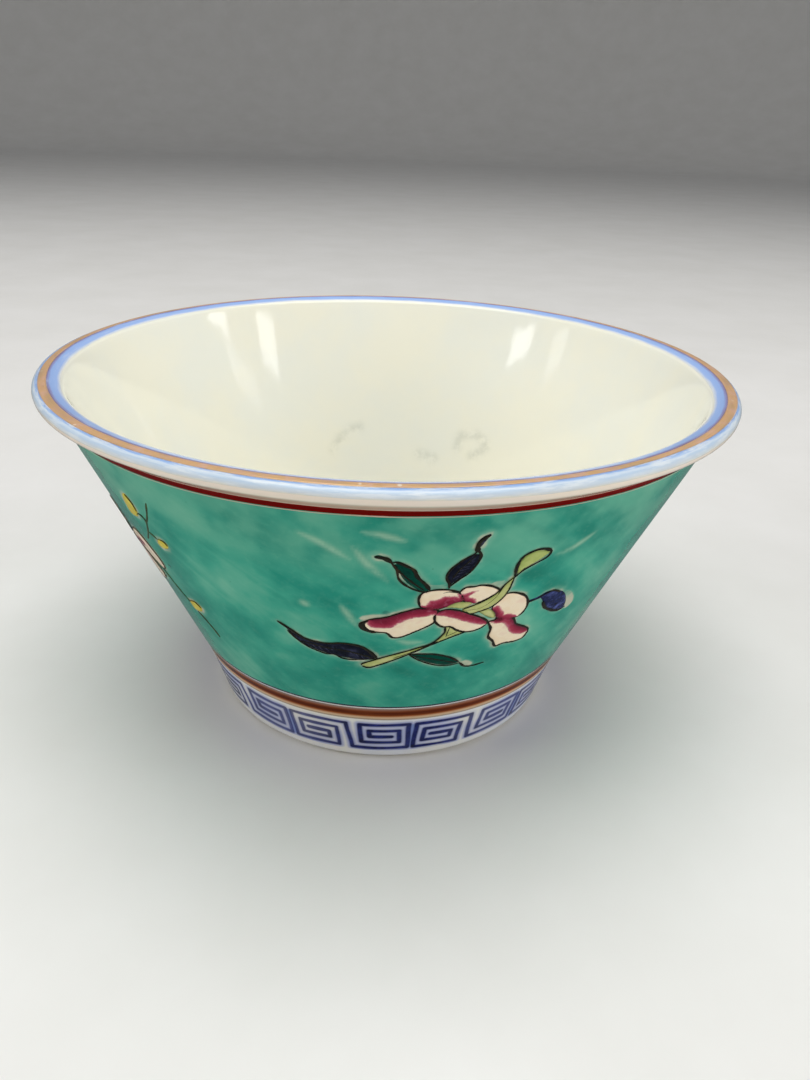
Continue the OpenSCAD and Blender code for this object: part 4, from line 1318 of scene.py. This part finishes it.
lime = lime_material("lime_enamel", [(0.3, 160, 174, 98), (0.5, 186, 192, 122), (0.72, 206, 206, 148)],
                     rgb(96, 108, 46))
flower_materials = {
    "petals": cream_material(),
    "petal_blush": blush_material(),
    "throat": lime,
    "stem": lime,
    "lime_leaf": lime_material("lime_leaf_enamel",
                               [(0.3, 148, 168, 88), (0.5, 174, 188, 110), (0.72, 198, 206, 136)],
                               rgb(84, 106, 34)),
    "navy_leaves": leaf_material("navy_enamel", [(0.3, 9, 12, 20), (0.52, 20, 24, 40), (0.75, 58, 62, 88)],
                                 rgb(84, 86, 112), rgb(30, 28, 50)),
    "green_leaves": leaf_material("green_enamel",
                                  [(0.3, 0, 48, 40), (0.55, 0, 70, 56), (0.8, 8, 100, 80)],
                                  rgb(3, 28, 24), rgb(6, 84, 68)),
    "bud": leaf_material("navy_bud_enamel", [(0.3, 14, 20, 38), (0.48, 30, 40, 84), (0.68, 92, 104, 168)],
                         rgb(90, 100, 160), rgb(14, 18, 40)),
    "lines": line_material(),
}
bud_materials = {
    "yellow_buds": plain_enamel("yellow_enamel", [(0.3, 196, 138, 56), (0.42, 208, 190, 66),
                                                  (0.6, 222, 208, 84), (0.8, 232, 220, 130)]),
    "blossom": flower_materials["petals"],
    "blossom_blush": flower_materials["petal_blush"],
    "twigs": plain_enamel("twig_enamel", [(0.3, 30, 58, 34), (0.6, 58, 84, 44), (0.8, 92, 104, 56)]),
    "lines": flower_materials["lines"],
}
open_flower("front", FRONT_AZ, flower_materials)
open_flower("back", BACK_AZ, flower_materials)
bud_spray("left", LEFT_AZ, bud_materials)
bud_spray("right", RIGHT_AZ, bud_materials)


# ---------------------------------------------------------------- floor, light and camera
def pale_floor():
    """A pale round floor whose edge curves up all round, far outside the lights."""
    flat, bend, top, sides = 2.2, 0.6, 2.2, 96
    curve = np.linspace(0, math.pi / 2, 17)
    profile = [(flat + bend * math.sin(a), bend - bend * math.cos(a)) for a in curve]
    profile.append((flat + bend, top))
    turn = [2 * math.pi * k / sides for k in range(sides)]
    points = [(0, 0, 0)] + [(r * math.sin(a), -r * math.cos(a), z) for r, z in profile for a in turn]
    faces = [(0, 1 + k, 1 + (k + 1) % sides) for k in range(sides)]
    for i in range(len(profile) - 1):
        for k in range(sides):
            a, b = 1 + i * sides + k, 1 + i * sides + (k + 1) % sides
            faces.append((a, a + sides, b + sides, b))
    mesh = bpy.data.meshes.new("floor")
    mesh.from_pydata(points, [], faces)
    mesh.polygons.foreach_set("use_smooth", np.ones(len(mesh.polygons), bool))
    floor = bpy.data.objects.new("floor", mesh)
    floor.data.materials.append(floor_material())
    bpy.context.scene.collection.objects.link(floor)
    floor.visible_glossy = False


def soft_light(name, place_at, towards, size, power, colour, mirrored=True):
    data = bpy.data.lights.new(name, "AREA")
    data.shape = "RECTANGLE"
    data.size, data.size_y = size
    data.energy = power
    data.color = colour
    light = bpy.data.objects.new(name, data)
    light.location = place_at
    light.rotation_euler = (Vector(towards) - Vector(place_at)).to_track_quat("-Z", "Y").to_euler()
    light.visible_glossy = mirrored
    bpy.context.scene.collection.objects.link(light)


# Small bright panes about the bowl: azimuth, height angle, width, height, glow
WINDOW_AT = 1.2
WINDOWS = {
    "right_pane_near": (62, 29.5, 0.14, 0.10, 15),
    "right_pane_far": (84, 28.5, 0.16, 0.10, 15),
    "right_pane_low": (77, 24, 0.22, 0.06, 5),
    "left_pane_near": (-65, 29.5, 0.17, 0.06, 17),
    "left_pane_far": (-83, 26, 0.12, 0.08, 6),
}
ROOM_GLOW = 0.17
# The camera's distance in front of the axis and its height, in rim radii
CAMERA_BACK = 2.493
CAMERA_UP = 1.709


def camera():
    """The photograph's viewpoint, close to the bowl and a little above its lip."""
    distance_back, height = CAMERA_BACK * RIM_R * MM, CAMERA_UP * RIM_R * MM
    yaw, pitch, roll = 0.0258, 0.4668, 0.0396
    forward = Vector((math.sin(yaw) * math.cos(pitch), math.cos(yaw) * math.cos(pitch), -math.sin(pitch)))
    right = Vector((math.cos(yaw), -math.sin(yaw), 0))
    up = right.cross(forward)
    across = math.cos(roll) * right + math.sin(roll) * up
    upward = -math.sin(roll) * right + math.cos(roll) * up
    data = bpy.data.cameras.new("camera")
    data.lens = 28
    data.sensor_width = 36
    data.clip_start = 0.01
    cam = bpy.data.objects.new("camera", data)
    cam.matrix_world = Matrix((
        (across.x, upward.x, -forward.x, 0), (across.y, upward.y, -forward.y, -distance_back),
        (across.z, upward.z, -forward.z, height), (0, 0, 0, 1)))
    bpy.context.scene.collection.objects.link(cam)
    bpy.context.scene.camera = cam


pale_floor()
camera()
soft_light("sky", (0, 0, 1.1), (0, 0, 0.05), (0.9, 0.9), 9.7, (1, 0.99, 0.97))
soft_light("front_fill", (0.25, -1, 0.55), (0, 0, 0.03), (0.9, 0.7), 2.0, (1, 1, 1), mirrored=False)
soft_light("left_fill", (-1.12, -0.2, 0.5), (0, 0, 0.05), (0.7, 0.6), 4.8, (1, 1, 0.99), mirrored=False)
soft_light("right_fill", (1.15, -0.35, 0.32), (0, 0, 0.05), (0.7, 0.6), 4.6, (1, 1, 0.99), mirrored=False)
for window, (azimuth, height_angle, width, height, glow) in WINDOWS.items():
    turn, climb = math.radians(azimuth), math.radians(height_angle)
    flat = WINDOW_AT * math.cos(climb)
    soft_light(window, (flat * math.sin(turn), -flat * math.cos(turn), 0.05 + WINDOW_AT * math.sin(climb)),
               (0, 0, 0.05), (width, height), glow * width * height, (0.98, 0.99, 1))
world = bpy.data.worlds.new("room")
bpy.context.scene.world = world
world.use_nodes = True
world.node_tree.nodes["Background"].inputs["Color"].default_value = (0.94, 0.96, 1, 1)
world.node_tree.nodes["Background"].inputs["Strength"].default_value = ROOM_GLOW
bpy.context.scene.view_settings.view_transform = "Standard"
